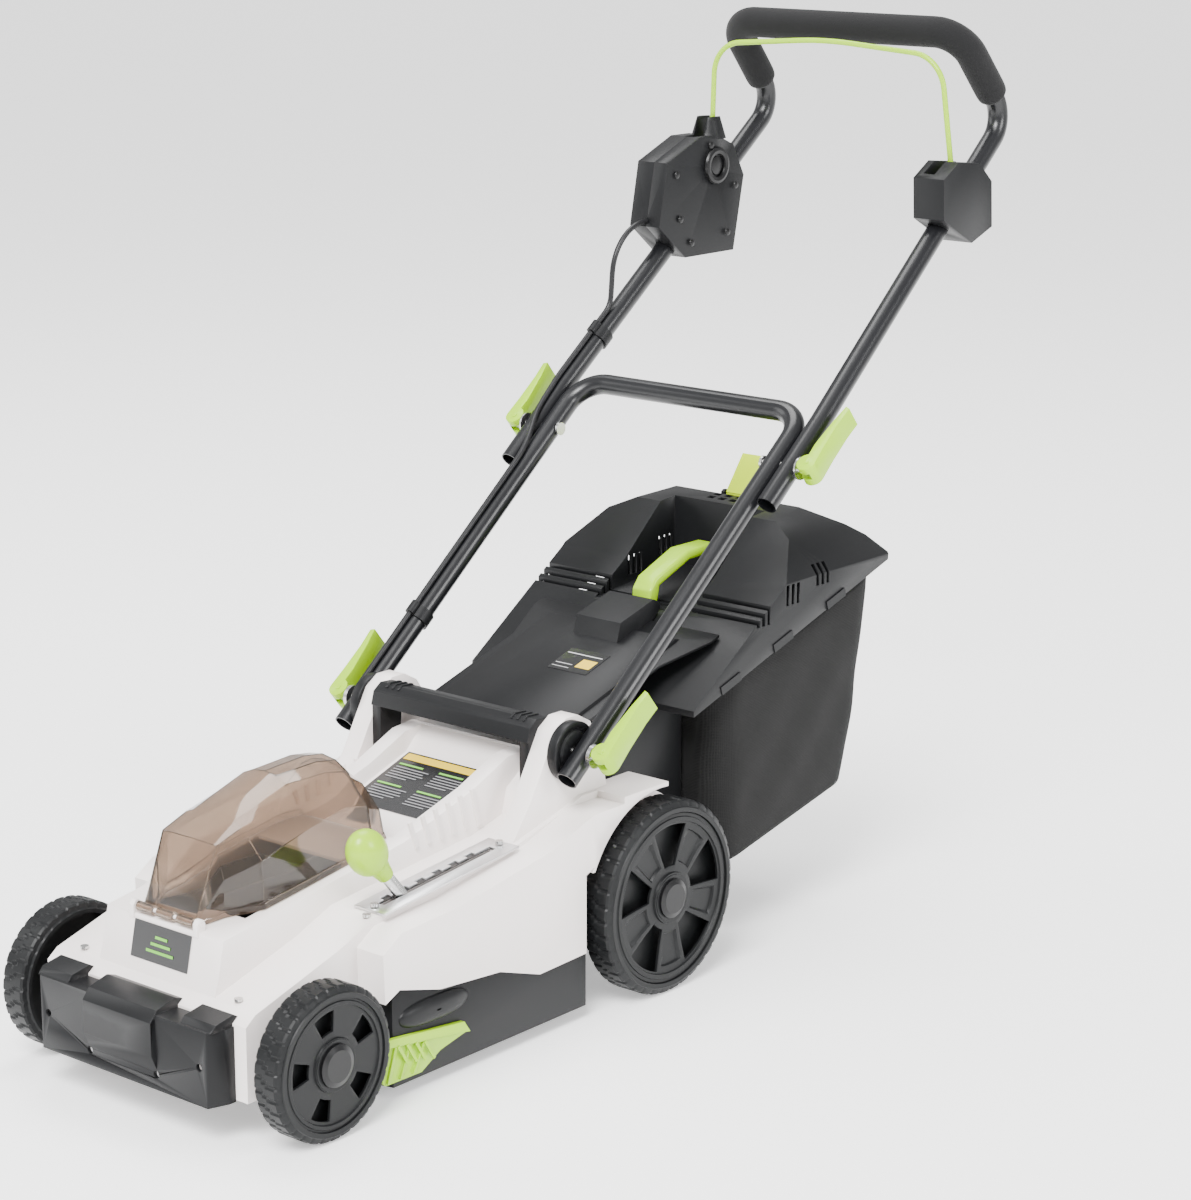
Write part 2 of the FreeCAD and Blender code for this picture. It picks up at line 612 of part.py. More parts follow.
deck_room = slab("bumper_deck_room", [("-58.1", "30"), ("-58.1", "112.1"), ("-46.1", "121.2"), ("-30", "126"),
                                      ("-30", "30")], "140")
node("front_bumper", cut("bumper_cut", fuse("bumper_solid",
                                            cut("bumper_shell", bumper_block, bumper_inside), scoop,
                                            corner_top, mirrored("corner_top_right", corner_top)),
                                            deck_room, *fixings))

# Lime combs that lead grass from the sides into the cutter.
comb_base = slab("comb_base", [("80", "24"), ("80", "66"), ("188", "53"), ("196", "41"), ("158", "33"),
                               ("132", "19"), ("84", "20")], "skirt + 2", "skirt")
comb_rib = slab("comb_rib_top", [("80", "58"), ("80", "66"), ("188", "53"), ("196", "41"), ("184", "43")],
                "skirt + 5", "skirt")
teeth = [slab(f"comb_tooth_{i}", [(str(84 + 17 * i), "22"), (str(88 + 17 * i), "22"),
                                  (str(99 + 19 * i), str(57 - 3 * i)),
                                  (str(95 + 19 * i), str(57 - 3 * i))], "skirt + 4.5",
                                  "skirt") for i in range(3)]
comb = fuse("edge_comb", comb_base, comb_rib, *teeth)
node("edge_combs", group("edge_combs_pair", comb, mirrored("edge_comb_right", comb)))

# Carry handle between the ears.
grab = slab("grab", [("350", "276"), ("354", "290"), ("364", "297"), ("380", "296"), ("386", "288"),
                     ("380", "277"),
                     ("366", "272")], "ear_in - 0.05")
foot = slab("grab_foot", [("352", "226.6"), ("352", "280"), ("384", "280"), ("381", "246.2")],
            "ear_in - 0.05",
            "ear_in - 12")
ribs = [box(f"grab_rib_{i}", (str(x), str(x + 3)), ("352", "384"), ("294.5", "299"))
        for i, x in enumerate((-94, -86, -78, 75, 83, 91))]
rib_shape = slab("rib_shape", [("352", "290"), ("355", "292"), ("364", "298.5"), ("380", "297.5"),
                               ("384", "292")], "100")
grip_ribs = common("grab_ribs", rib_shape, fuse("grab_rib_set", *ribs))
node("carry_handle", fuse("carry_handle_solid", grab, foot, mirrored("grab_foot_right", foot), grip_ribs))

# Black discs that carry the handle's pivots on the ears.
disc = rod("pivot_disc", "x", "30", "ear_out", "lower_half - tube - 0.4", ("fold_y", "fold_z"))
disc_hole = rod("pivot_disc_hole", "x", "bolt + run_fit", "ear_out - 1", "lower_half", ("fold_y", "fold_z"))
disc_ring = rod("pivot_disc_ring", "x", "24", "lower_half - tube - 1.9", "lower_half", ("fold_y", "fold_z"))
disc_core = rod("pivot_disc_core", "x", "20", "lower_half - tube - 2.5", "lower_half - tube - 0.4",
                ("fold_y", "fold_z"))
hub = cut("pivot_hub", fuse("pivot_hub_solid", cut("pivot_hub_groove", disc, disc_ring), disc_core),
          disc_hole)
node("handle_hubs", group("handle_hub_pair", hub, mirrored("pivot_hub_right", hub)))

# Height plate on the deck's shoulder, with a notched slot that the lever runs in.
plate_blank = slab("plate_blank", [("112", "171.4"), ("112", "173.8"), ("298", "192.2"), ("298", "189.6")],
                   "lever_x + 22", "lever_x - 18")
plate_slot = box("plate_slot", ("lever_x - 2.5", "lever_x + lever_thick + 2.5"), ("127", "282"),
                 ("150", "230"))
notches = [box(f"notch_{i}", ("lever_x - 8", "lever_x"), (str(136 + 23 * i), str(147 + 23 * i)),
               ("150", "230"))
           for i in range(6)]
node("height_plate", cut("height_plate_cut", plate_blank, plate_slot, *notches))

# Brackets inside the deck: four axle bushes and the lever's pivot post.
def bush(name, y, z):
    """Bearing block for a torsion bar, just inside the deck's side wall."""
    block = box(name + "_block", ("narrow - 12", "narrow - wall"), (f"{y} - 9", f"{y} + 9"),
                (f"{z} - 9", f"{z} + 9"))
    return cut(name, block, rod(name + "_bore", "x", "axle + run_fit", "narrow - 13", "narrow", (y, z)))


front_bush = bush("front_bush", "crank_y", "front_wheel - crank_drop")
rear_post = box("rear_bush_block", ("narrow - 13", "narrow - 4"),
                ("wheelbase + crank_y - 9", "wheelbase + crank_y + 9"),
                ("104", "112"))
post = box("lever_post", ("lever_x + lever_thick + 2.5", "lever_x + lever_thick + 7"),
           ("lever_y - 9", "lever_y + 9"),
           ("pan_top", "lever_z + 8"))
post_pin = rod("lever_post_pin", "x", "link_pin", "lever_x - 1", "lever_x + lever_thick + 2.5",
               ("lever_y", "lever_z"))
node("linkage_brackets", group("linkage_bracket_set", front_bush, mirrored("front_bush_right", front_bush),
                               rear_post,
                               mirrored("rear_post_right", rear_post), fuse("lever_pivot", post, post_pin)))

# Battery bay: two deep slots side by side.
tray = box("tray_block", ("-bay_half + 0.3", "bay_half - 0.3"), ("bay_front + 0.3", "bay_rear - 0.3"),
           ("110", "180"))
slots = [box(f"battery_slot_{i}", x, ("bay_front + 3.3", "bay_rear - 3.3"), ("113", "182"))
         for i, x in enumerate((("2", "bay_half - 3.3"), ("3.3 - bay_half", "-2")))]
tray_slope = slab("tray_slope", [("0", "175.2"), ("bay_front", "177.4"), ("bay_rear", "196.6"),
                                 ("160", "230"),
                                 ("0", "230")], "80")
node("battery_tray", cut("battery_tray_cut", tray, *slots, tray_slope))
contacts = [box(f"contact_{side}_{i}", (str(side * 31 + 7 * i - 10.5), str(side * 31 + 7 * i - 9)),
                ("100", "118"),
                ("113", "121")) for side in (-1, 1) for i in range(4)]
node("battery_terminals", group("battery_terminal_set", *contacts))
board = box("board_plate", ("-42", "42"), ("154", "155.6"), ("92", "158"))
chips = [box(f"chip_{i}", (str(x), str(x + 16)), ("155.6", "160"), (str(z), str(z + 12)))
         for i, (x, z) in enumerate(((-36, 100), (-8, 104), (20, 100), (-30, 132), (8, 136)))]
node("controller_board", fuse("controller_board_solid", board, *chips))

# Motor on its mount over the pan.
mount = rod("mount_disc", "z", "58", "pan_top", "pan_top + 6", ("0", "blade_y"))
mount_hole = rod("mount_hole", "z", "9", "pan_top - 1", "pan_top + 7", ("0", "blade_y"))
node("motor_mount", cut("motor_mount_cut", mount, mount_hole))
can = rod("motor_can", "z", "motor", "pan_top + 6", "pan_top + 66", ("0", "blade_y"))
crown = rod("motor_crown", "z", "motor - 12", "pan_top + 66", "pan_top + 76", ("0", "blade_y"))
fins = [box(f"motor_fin_{i}", (str(x), str(x + 3)), ("blade_y - motor + 2", "blade_y + motor - 2"),
            ("pan_top + 66", "pan_top + 70")) for i, x in enumerate((-26, -13, 10, 23))]
motor_bore = rod("motor_bore", "z", "shaft + run_fit", "pan_top + 5", "pan_top + 60", ("0", "blade_y"))
node("motor", cut("motor_cut", fuse("motor_solid", can, crown, *fins), motor_bore))

# Cutter: shaft, flange with cooling blades, bar blade and bolt.
node("motor_shaft", rod("shaft_bar", "z", "shaft", "blade_low", "pan_top + 58", ("0", "blade_y")))
flange_hub = rod("flange_hub", "z", "15", "blade_low + blade_thick", "pan_top - 8", ("0", "blade_y"))
flange_disc = rod("flange_disc", "z", "46", "blade_low + 14", "blade_low + 16", ("0", "blade_y"))
vanes = [box(f"vane_{i}", x, y, ("blade_low + 16", "blade_low + 24"))
         for i, (x, y) in enumerate(((("14", "44"), ("blade_y - 1", "blade_y + 1")),
                                     (("-44", "-14"), ("blade_y - 1", "blade_y + 1")),
                                     (("-1", "1"), ("blade_y + 14", "blade_y + 44")),
                                     (("-1", "1"), ("blade_y - 44", "blade_y - 14"))))]
flange_bore = rod("flange_bore", "z", "shaft", "blade_low", "pan_top", ("0", "blade_y"))
node("blade_flange", cut("blade_flange_cut", fuse("flange_solid", flange_hub, flange_disc, *vanes),
                         flange_bore))
bar = box("blade_bar", ("-sqrt(blade_radius ^ 2 - 625)", "sqrt(blade_radius ^ 2 - 625)"),
          ("blade_y - 25", "blade_y + 25"), ("blade_low", "blade_low + blade_thick"))
wing = [box(f"blade_wing_{i}", x, y, ("blade_low + blade_thick", "blade_low + 13"))
        for i, (x, y) in enumerate(((("90", "150"), ("blade_y + 21", "blade_y + 24")),
                                    (("-150", "-90"), ("blade_y - 24", "blade_y - 21"))))]
blade_bore = rod("blade_bore", "z", "shaft", "blade_low - 1", "blade_low + 20", ("0", "blade_y"))
node("blade", cut("blade_cut", fuse("blade_solid", bar, *wing), blade_bore))
washer = rod("bolt_washer", "z", "16", "blade_low - 3", "blade_low", ("0", "blade_y"))
hexagon = doc.addObject("Part::Prism", "bolt_head")
hexagon.Polygon = 6
bind(hexagon, Circumradius="10", Height="8", Placement__Base__y="blade_y",
     Placement__Base__z="blade_low - 11")
node("blade_bolt", fuse("blade_bolt_solid", washer, hexagon))

# Stickers on the deck: a badge on the battery housing and an information label in the trough.
badge = slab("badge", [("-39.4", "134"), ("-38.8", "133.9"), ("-31.4", "168"), ("-32", "168.1")], "38")
info = slab("info_label", [("265", "205.6"), ("352", "235.0"), ("351.8", "235.6"), ("264.8", "206.2")], "55")
node("deck_labels", group("deck_label_set", badge, info))

# Screws that hold the two deck shells and the height plate.
def screw(name, x, y, z):
    """Small pan head standing on a surface."""
    return rod(name, "z", "4", z, f"{z} + 2.4", (str(x), str(y)))


SCREW_SPOTS = ((104, -38, "124.6"), (-104, -38, "124.6"), (126, 104, "170.4"), (-126, 104, "170.4"))
heads = [screw(f"screw_{i}", *spot) for i, spot in enumerate(SCREW_SPOTS)]
plate_screws = [rod(f"plate_screw_{i}", "z", "4", z, f"{z} + 3", ("lever_x + 2", y))
                for i, (y, z) in enumerate((("119", "175.3"), ("291", "192.2")))]
node("deck_screws", group("deck_screw_set", *heads, *plate_screws))

# Hinge pins held by the deck: the battery cover's and the flap's.
cover_pin = rod("cover_pin", "x", "2", "-47", "47", ("hinge_y", "hinge_z"))
flap_rod = rod("flap_rod", "x", "2.4", "-118", "118", ("flap_y", "flap_z"))
node("hinge_pins", group("hinge_pin_set", cover_pin, flap_rod))


# ---------------------------------------------------------------------------------------------
# Battery cover, rear flap and grass bag
# ---------------------------------------------------------------------------------------------
cover_side = [("hinge_y + 1", "hinge_z - 2"), ("-20", "187"), ("4", "246"), ("60", "272"), ("110", "288"),
              ("150", "289.5"), ("182", "281"), ("203", "262"), ("203", "206.2"), ("-21", "174.2")]
cover_room = [("-18", "171"), ("-16", "188"), ("6.5", "244"), ("61.5", "269.6"), ("110.5", "285.6"),
              ("150", "287.2"), ("181", "278.8"), ("200.8", "260.8"), ("200.8", "200")]
cover_plan = [("38", "-34"), ("38", "-14"), ("cover_half", "28"), ("cover_half", "185"), ("56", "204"),
              ("-56", "204"), ("-cover_half", "185"), ("-cover_half", "28"), ("-38", "-14"), ("-38", "-34")]
room_plan = [("35", "-40"), ("35", "-12"), ("cover_half - cover_skin", "29"),
             ("cover_half - cover_skin", "184"), ("54.5", "201.8"), ("-54.5", "201.8"),
             ("cover_skin - cover_half", "184"), ("cover_skin - cover_half", "29"), ("-35", "-12"),
             ("-35", "-40")]
cover_front = [("cover_half", "160"), ("cover_half", "224"), ("60", "246"), ("41", "269"), ("20", "284"),
               ("8", "290"), ("-8", "290"), ("-20", "284"), ("-41", "269"), ("-60", "246"),
               ("-cover_half", "224"), ("-cover_half", "160")]
room_front = [("cover_half - cover_skin", "150"), ("cover_half - cover_skin", "223"), ("58", "244.6"),
              ("39.5", "267"), ("19", "281.6"), ("8", "287.4"), ("-8", "287.4"), ("-19", "281.6"),
              ("-39.5", "267"), ("-58", "244.6"), ("cover_skin - cover_half", "223"),
              ("cover_skin - cover_half", "150")]


def bubble(name, side, plan_outline, front):
    """Block shaped by its side, plan and front outlines."""
    return common(name, slab(name + "_side", side, "80"),
                  prism(name + "_plan", "XY", plan_outline, "140", "140"),
                  prism(name + "_front", "XZ", front, "-230", "320"))


cover_shell = cut("cover_shell", bubble("cover_block", cover_side, cover_plan, cover_front),
                  bubble("cover_inside", cover_room, room_plan, room_front))
barrel = rod("cover_barrel", "x", "4.5", "-38", "38", ("hinge_y", "hinge_z"))
cover_bore = rod("cover_bore", "x", "2 + run_fit", "-50", "50", ("hinge_y", "hinge_z"))
node("battery_cover", cut("battery_cover_cut", fuse("battery_cover_solid", cover_shell, barrel), cover_bore))

# Flap: a plate from its barrel over the bag's mouth, with a raised middle and a thumb lift.
flap_plan = [("100", "396"), ("100", "560"), ("flap_half", "618"), ("flap_half", "632"),
             ("-flap_half", "632"),
             ("-flap_half", "618"), ("-100", "560"), ("-100", "396")]


def on_flap(y, height):
    """A side point on the flap at a distance y, a height above its underside."""
    return (y, f"flap_z - 3 + flap_slope * ({y} - flap_y) + {height}")


flap_plate = common("flap_plate", prism("flap_plan", "XY", flap_plan, "240", "140"),
                    slab("flap_side", [on_flap("396", 0), on_flap("632", 0), on_flap("632", 3),
                                       on_flap("396", 3)],
                         "flap_half + 2"))
panel = slab("flap_panel", [on_flap("425", 2), on_flap("612", 2), on_flap("604", 6.5), on_flap("432", 6.5)],
             "86")
hump = slab("flap_hump", [on_flap("575", 2), on_flap("632", 0), ("647", "341"), ("647", "348"),
                          ("636", "353"),
                          ("582", "338")], "30")
flap_barrel = rod("flap_barrel", "x", "6", "-84", "84", ("flap_y", "flap_z"))
flap_bore = rod("flap_bore", "x", "2.4 + run_fit", "-130", "130", ("flap_y", "flap_z"))
node("rear_flap", cut("rear_flap_cut", fuse("rear_flap_solid", flap_plate, panel, hump, flap_barrel),
                      flap_bore))
node("rating_label", slab("rating_label_plate", [on_flap("512", 6.55), on_flap("552", 6.55),
                                                 on_flap("552", 7.1),
                                                 on_flap("512", 7.1)], "42", "-10"))

# Fabric of the bag as one open-topped shell with its mouth at the front.
fabric_side = [("600", "86"), ("837", "136"), ("884", "362"), ("600", "279")]
fabric_room = [("602.5", "89"), ("834.9", "138.1"), ("884", "374"), ("602.5", "300")]
mouth = box("bag_mouth", ("-mouth_half", "mouth_half"), ("598", "604"), ("148", "290"))
node("bag_fabric", cut("bag_fabric_cut", slab("fabric_outside", fabric_side, "bag_half"),
                       slab("fabric_inside", fabric_room, "bag_half - bag_skin"), mouth))

# Plastic throat that hangs on the deck's rear opening.
node("bag_frame", cut("bag_frame_cut", slab("frame_outside",
                                            [("456", "112"), ("600", "150"), ("600", "276.5"),
                                                              ("552", "262"), ("456", "246")], "mouth_half"),
                      slab("frame_inside", [("450", "114"), ("606", "155"), ("606", "275"), ("552", "258.8"),
                                            ("450", "241.8")], "mouth_half - wall")))

# Lid: a domed shell with a handle recess, side louvres and a vent grid.
lid_top = [("552", "265.6"), ("552", "272"), ("620", "318"), ("700", "372"), ("760", "425"), ("815", "430"),
           ("868", "398"), ("888", "378"), ("887", "369.6")]
lid_room = [("600", "270"), ("622", "315"), ("701.5", "368.5"), ("761.5", "421.5"), ("814", "426.5"),
            ("866", "395"), ("883.5", "378"), ("884", "366")]
lid_front = [("lid_half", "250"), ("lid_half", "376"), ("124", "412"), ("80", "432"), ("-80", "432"),
             ("-124", "412"), ("-lid_half", "376"), ("-lid_half", "250")]
room_side = [("lid_half - wall", "240"), ("lid_half - wall", "375"), ("122.5", "409.5"), ("79.5", "429"),
             ("-79.5", "429"), ("-122.5", "409.5"), ("wall - lid_half", "375"), ("wall - lid_half", "240")]
lid_outside = common("lid_outside", slab("lid_side", lid_top, "lid_half"),
                     prism("lid_front", "XZ", lid_front, "-900", "360"))
lid_inside = common("lid_inside", slab("lid_room_side", lid_room, "lid_half - wall"),
                    prism("lid_room_front", "XZ", room_side, "-900", "360"))
dish_side = [("643", "334"), ("650", "338"), ("785", "352"), ("785", "440"), ("643", "440")]
dish_lining = [("640", "331"), ("650", "334.5"), ("788", "349"), ("788", "432"), ("640", "432")]
dish_skin = common("dish_skin", slab("dish_solid", dish_lining, "65"), lid_outside)
dish = slab("dish", dish_side, "62")
louvres = [box(f"louvre_{i}_{j}", ("-160", "160"), (str(y + 9 * j), str(y + 9 * j + 5)),
               (str(z), str(z + 22)))
           for i, (y, z) in enumerate(((655, 338), (705, 352), (757, 364))) for j in range(3)]
grid = [box(f"vent_{i}_{j}", (str(15 * i - 27), str(15 * i - 18)), (str(795 + 12 * j), str(803 + 12 * j)),
            ("400", "440"))
        for i in range(4) for j in range(2)]
flag_seat = box("flag_seat", ("-24", "24"), ("822", "842"), ("400", "440"))
lid_shell = cut("bag_lid_cut", fuse("bag_lid_solid", cut("bag_lid_shell", lid_outside, lid_inside),
                                    dish_skin), dish,
                flag_seat, *louvres, *grid)
flag_lug = slab("flag_lug", [("823", "421"), ("833", "416"), ("833", "430"), ("830", "432"), ("826", "432"),
                             ("823", "430")], "28", "24")
flag_pin = rod("flag_pin", "x", "1.5", "-26", "26", ("828", "428"))
node("bag_lid", fuse("bag_lid_joined", lid_shell, flag_lug, mirrored("flag_lug_right", flag_lug), flag_pin))
bar_side = [("650.5", "340"), ("652", "356"), ("662", "368"), ("716", "389"), ("762", "389"), ("783", "378"),
            ("783", "368"), ("760", "378"), ("718", "378"), ("668", "359"), ("664", "341")]
node("bag_handle", slab("bag_handle_bar", bar_side, "13"))

# Fill flag: lifted by the air stream while the bag still has room.
flag_blade = slab("flag_blade", [("824", "430"), ("829.5", "426"), ("832", "432"), ("858", "467"),
                                 ("853.5", "469")], "22")
flag_root = rod("flag_root", "x", "3.5", "-22", "22", ("828", "428"))
flag_bore = rod("flag_bore", "x", "1.5 + run_fit", "-30", "30", ("828", "428"))
node("fill_flag", cut("fill_flag_cut", fuse("fill_flag_solid", flag_blade, flag_root), flag_bore))


# ---------------------------------------------------------------------------------------------
# Handles
# ---------------------------------------------------------------------------------------------
def along(base, distance, x=0.0, lift=0.0):
    """A point on a handle's line: distance up the rake from base, x across, lift square to the tube."""
    return base + ALONG * distance + SIDE * x + ABOVE * lift


def both_sides(points):
    """A left-hand run of points carried over to the right-hand side."""
    return points + [FreeCAD.Vector(-p.x, p.y, p.z) for p in reversed(points)]


def tube_between(path):
    """A hollow tube along a path."""
    return swept(path, size("tube")).cut(swept(path, size("tube_bore")))


LOWER, UPPER = size("lower_half"), size("upper_half")
TUBE, BOLT, PIN = size("tube"), size("bolt"), size("link_pin")
bolt_fit = BOLT + size("run_fit")
crossbar = (735.0 - size("fold_y")) / ALONG.y
lower_run = both_sides([along(FOLD, -34, LOWER), along(FOLD, crossbar, LOWER)])
lower_tube = tube_between(rounded_path(lower_run, [35, 35]))
for spot in (FOLD, JOINT):
    lower_tube = lower_tube.cut(cylinder(bolt_fit, spot - SIDE * 200, SIDE, 400))
node("lower_handle_tube", drawn("lower_tube", lower_tube))

kink = FreeCAD.Vector(158, 1080.5, 829.5)
grip_corner = FreeCAD.Vector(size("grip_half"), size("grip_y"), size("grip_z"))
upper_run = both_sides([along(JOINT, -53, UPPER), along(JOINT, 60, UPPER), kink, grip_corner])
upper_path = rounded_path(upper_run, [150, 32, 34, 34, 32, 150])
upper_tube = tube_between(upper_path).cut(cylinder(bolt_fit, JOINT - SIDE * 220, SIDE, 440))
node("upper_handle_tube", drawn("upper_tube", upper_tube))

grip_start = grip_corner + (kink - grip_corner).normalize() * 94
grip_path = rounded_path(both_sides([grip_start, grip_corner]), [34, 34])
node("foam_grip", drawn("foam_sleeve", swept(grip_path, size("grip")).cut(swept(grip_path, TUBE + 0.1))))


def bolt_set(centre, start, head_radius, seat, seat_thick, pin_x):
    """Fold bolt with its head, a saddle for the cam and an eye for the cam's pin, both sides."""
    base = centre + SIDE * start
    bolt = cylinder(BOLT, base, SIDE, pin_x - start)
    head = cylinder(head_radius, base - SIDE * 3, SIDE, 3)
    saddle = cylinder(TUBE + 1, centre + SIDE * seat, SIDE,
                      seat_thick).cut(cylinder(bolt_fit, base, SIDE, 100))
    eye = cylinder(5.5, centre + SIDE * pin_x - ABOVE * 4, ABOVE, 8)
    bore = cylinder(PIN + size("run_fit"), centre + SIDE * pin_x - ABOVE * 6, ABOVE, 12)
    left = [bolt.fuse([head, eye]).cut(bore), saddle]
    return Part.makeCompound(left + [piece.mirror(FreeCAD.Vector(), SIDE) for piece in left])


node("lower_bolts", drawn("lower_bolt_set", bolt_set(FOLD, size("ear_in") + 4, BOLT, LOWER + TUBE + 0.3, 4.2,
                                                      size("lower_pin"))))
node("upper_bolts", drawn("upper_bolt_set", bolt_set(JOINT, LOWER - TUBE - 0.3, BOLT + 3, UPPER + TUBE + 0.3,
                                                      1.9, size("upper_pin"))))

# Clamping levers: drawn lying along the tube, then leaned to the rake and set on the bolts' eyes.
lever_outline = [("-2", "0"), ("-3", "24"), ("1", "58"), ("5", "cam_length"), ("10", "cam_length - 2"),
                 ("8.5", "56"),
                 ("9", "24"), ("cam", "0")]


def cam_lever(label, pin_x, y, z):
    """Eccentric head with a fork for the bolt's eye, a rivet and a flat lever."""
    arm = prism(label + "_arm", "XY", lever_outline, "-cam_width / 2", "cam_width")
    head = rod(label + "_head", "z", "cam", "-cam_width / 2", "cam_width / 2", ("0", "0"))
    fork_gap = box(label + "_fork", ("-14", "6"), ("-14", "6.5"), ("-4.4", "4.4"))
    rivet = rod(label + "_rivet", "z", "link_pin", "-cam_width / 2 - 0.8", "cam_width / 2 + 0.8", ("0", "0"))
    lever_piece = fuse(label + "_piece", cut(label + "_cut", fuse(label + "_blank", arm, head), fork_gap),
                       rivet)
    lever_piece.Placement.Rotation = FreeCAD.Rotation(FreeCAD.Vector(1, 0, 0), size("rake"))
    return bind(lever_piece, Placement__Base__x=pin_x, Placement__Base__y=y, Placement__Base__z=z)


for level, pin_x, y, z in (("lower", "lower_pin", "fold_y", "fold_z"),
                           ("upper", "upper_pin", "joint_y", "joint_z")):
    left_lever = node(f"cam_lever_{level}_left", cam_lever(f"{level}_lever", pin_x, y, z))
    right_hand(f"cam_lever_{level}_right", left_lever)


CABLE_LIFT = TUBE + size("cable") + 0.5


def clip(centre, direction):
    """Ring round a tube with a smaller ring for the cable."""
    start = centre - direction * 7
    cable_start = start + ABOVE * CABLE_LIFT
    body = cylinder(TUBE + 2.2, start, direction, 14).fuse(cylinder(size("cable") + 2.2, cable_start,
                                                                    direction, 14))
    return body.cut([cylinder(TUBE, start, direction, 14),
                     cylinder(size("cable") + 0.05, cable_start, direction, 14)])


node("lower_cable_clip", drawn("lower_clip", clip(along(FOLD, 112, -LOWER), ALONG)))

# Control cable on the right-hand tubes: one run on each handle, meeting at the upper joint.
lower_route = [along(FOLD, 0, -LOWER + TUBE - 0.8, CABLE_LIFT), along(FOLD, 0, -LOWER, CABLE_LIFT),
               along(FOLD, 372, -LOWER, CABLE_LIFT)]
lower_path = rounded_path(lower_route, [9.5])
upper_line = along(JOINT, 60, -UPPER, CABLE_LIFT)
upper_aim = FreeCAD.Vector(-158, kink.y, kink.z) + ABOVE * CABLE_LIFT
toward = (upper_aim - upper_line).normalize()
upper_clip_spot = upper_line + toward * 74
upper_route = [along(JOINT, 10, -UPPER, CABLE_LIFT), upper_line, upper_line + toward * 108,
               FreeCAD.Vector(-166, 806, 712), FreeCAD.Vector(-166, 872, 712)]
upper_cable_path = rounded_path(upper_route, [150, 24, 55])
for label, path in (("lower_cable", lower_path), ("upper_cable", upper_cable_path)):
    cord = node(label, drawn(label + "_cord", swept(path, size("cable"))))
    plain = math.pi * size("cable") ** 2 * path.Length
    print(f"{label} length {path.Length:.1f} mm, volume / (section x length) {cord.Shape.Volume / plain:.4f}")
node("upper_cable_clip", drawn("upper_clip", clip(upper_clip_spot - ABOVE * CABLE_LIFT, toward)))

# Switch box in two halves on the right-hand tube, and the plain clamp opposite it.
box_side = [("962", "800"), ("990", "788"), ("1010", "752"), ("992", "668"), ("905", "668"), ("858", "706"),
            ("872", "776"), ("930", "800")]
tube_way = drawn("tube_way", swept(upper_path, TUBE + 0.05))
bail_slot = box("bail_slot", ("-170", "-156"), ("930", "994"), ("768", "830"))
cone = doc.addObject("Part::Cone", "bail_cone")
bind(cone, Radius1="20", Radius2="13", Height="24", Placement__Base__x="-bail_x", Placement__Base__y="966",
     Placement__Base__z="796")
bail_seat = rod("bail_seat", "x", "bail_wire + run_fit", "-178", "-150", ("bail_y", "bail_z"))
button_well = rod("button_well", "x", "10.2", "-154", "-140", ("957", "767"))
cable_way = rod("cable_way", "y", "cable + 0.1", "850", "880", ("-166", "712"))
half_in = slab("box_inner", box_side, "-146", "-164.9")
half_out = slab("box_outer", box_side, "-165.1", "-188")
cone_split = box("cone_split", ("-190", "-165"), ("930", "1000"), ("770", "830"))
node("switch_box", cut("switch_box_cut", fuse("switch_box_solid", half_out,
                                              common("cone_outer", cone, cone_split)),
                       tube_way, bail_slot, bail_seat, cable_way))
node("switch_box_cover", cut("switch_cover_cut", fuse("switch_cover_solid", half_in,
                                                      cut("cone_inner", cone, cone_split)),
                             tube_way, bail_slot, bail_seat, button_well, cable_way))
node("start_button", rod("start_button_cap", "x", "10", "-151", "-143.2", ("957", "767")))
clamp_side = [("923", "778"), ("950", "794"), ("990", "790"), ("1014", "769"), ("1017", "720"),
              ("979", "706"),
              ("925", "735")]
clamp_slot = box("clamp_slot", ("156", "170"), ("930", "1000"), ("768", "830"))
clamp_seat = rod("clamp_seat", "x", "bail_wire + run_fit", "160", "178", ("bail_y", "bail_z"))
node("bail_clamp", cut("bail_clamp_cut", slab("clamp_block", clamp_side, "187", "148"), tube_way, clamp_slot,
                       clamp_seat))

# Bail: a sprung wire loop in front of the grip.
bail_end = FreeCAD.Vector(176, size("bail_y"), size("bail_z"))
bail_foot = FreeCAD.Vector(size("bail_x"), size("bail_y"), size("bail_z"))
bail_top = FreeCAD.Vector(152, 963, 902)
bail_mid = FreeCAD.Vector(0, 962, 913)
bail_run = [bail_end, bail_foot, bail_top, bail_mid] + [FreeCAD.Vector(-p.x, p.y, p.z)
                                                        for p in (bail_top, bail_foot, bail_end)]
node("bail", drawn("bail_wire", swept(rounded_path(bail_run, [6, 40, 500, 40, 6]), size("bail_wire"))))


# ---------------------------------------------------------------------------------------------
# Check and write every sub-part
# ---------------------------------------------------------------------------------------------
doc.recompute()
for thing in doc.Objects:
    assert "Invalid" not in thing.State and "Error" not in thing.State, (thing.Name, thing.State)
os.makedirs("parts", exist_ok=True)
total = FreeCAD.BoundBox()
for piece in NODES:
    shape = piece.Shape
    assert not shape.isNull() and shape.isValid() and shape.Volume > 0, piece.Label
    shape.exportStep(f"parts/{piece.Label}.step")
    total.add(shape.BoundBox)
    print(f"{piece.Label:24s} solids {len(shape.Solids):2d}  volume {shape.Volume / 1000:9.2f} cm3")
print("overall box", [round(v, 2) for v in (total.XMin, total.XMax, total.YMin, total.YMax, total.ZMin,
                                            total.ZMax)])
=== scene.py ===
# %% [markdown]
# # A cordless lawn mower, dressed in Blender
# The solids come from the CAD frame, already in their places and riding on their bodies. This
# lesson gives each of them a finish, and replaces the pieces whose real surface is softer or finer
# than a simple solid: the moulded wheels, the cloth bag, the foam grip and the running cable.

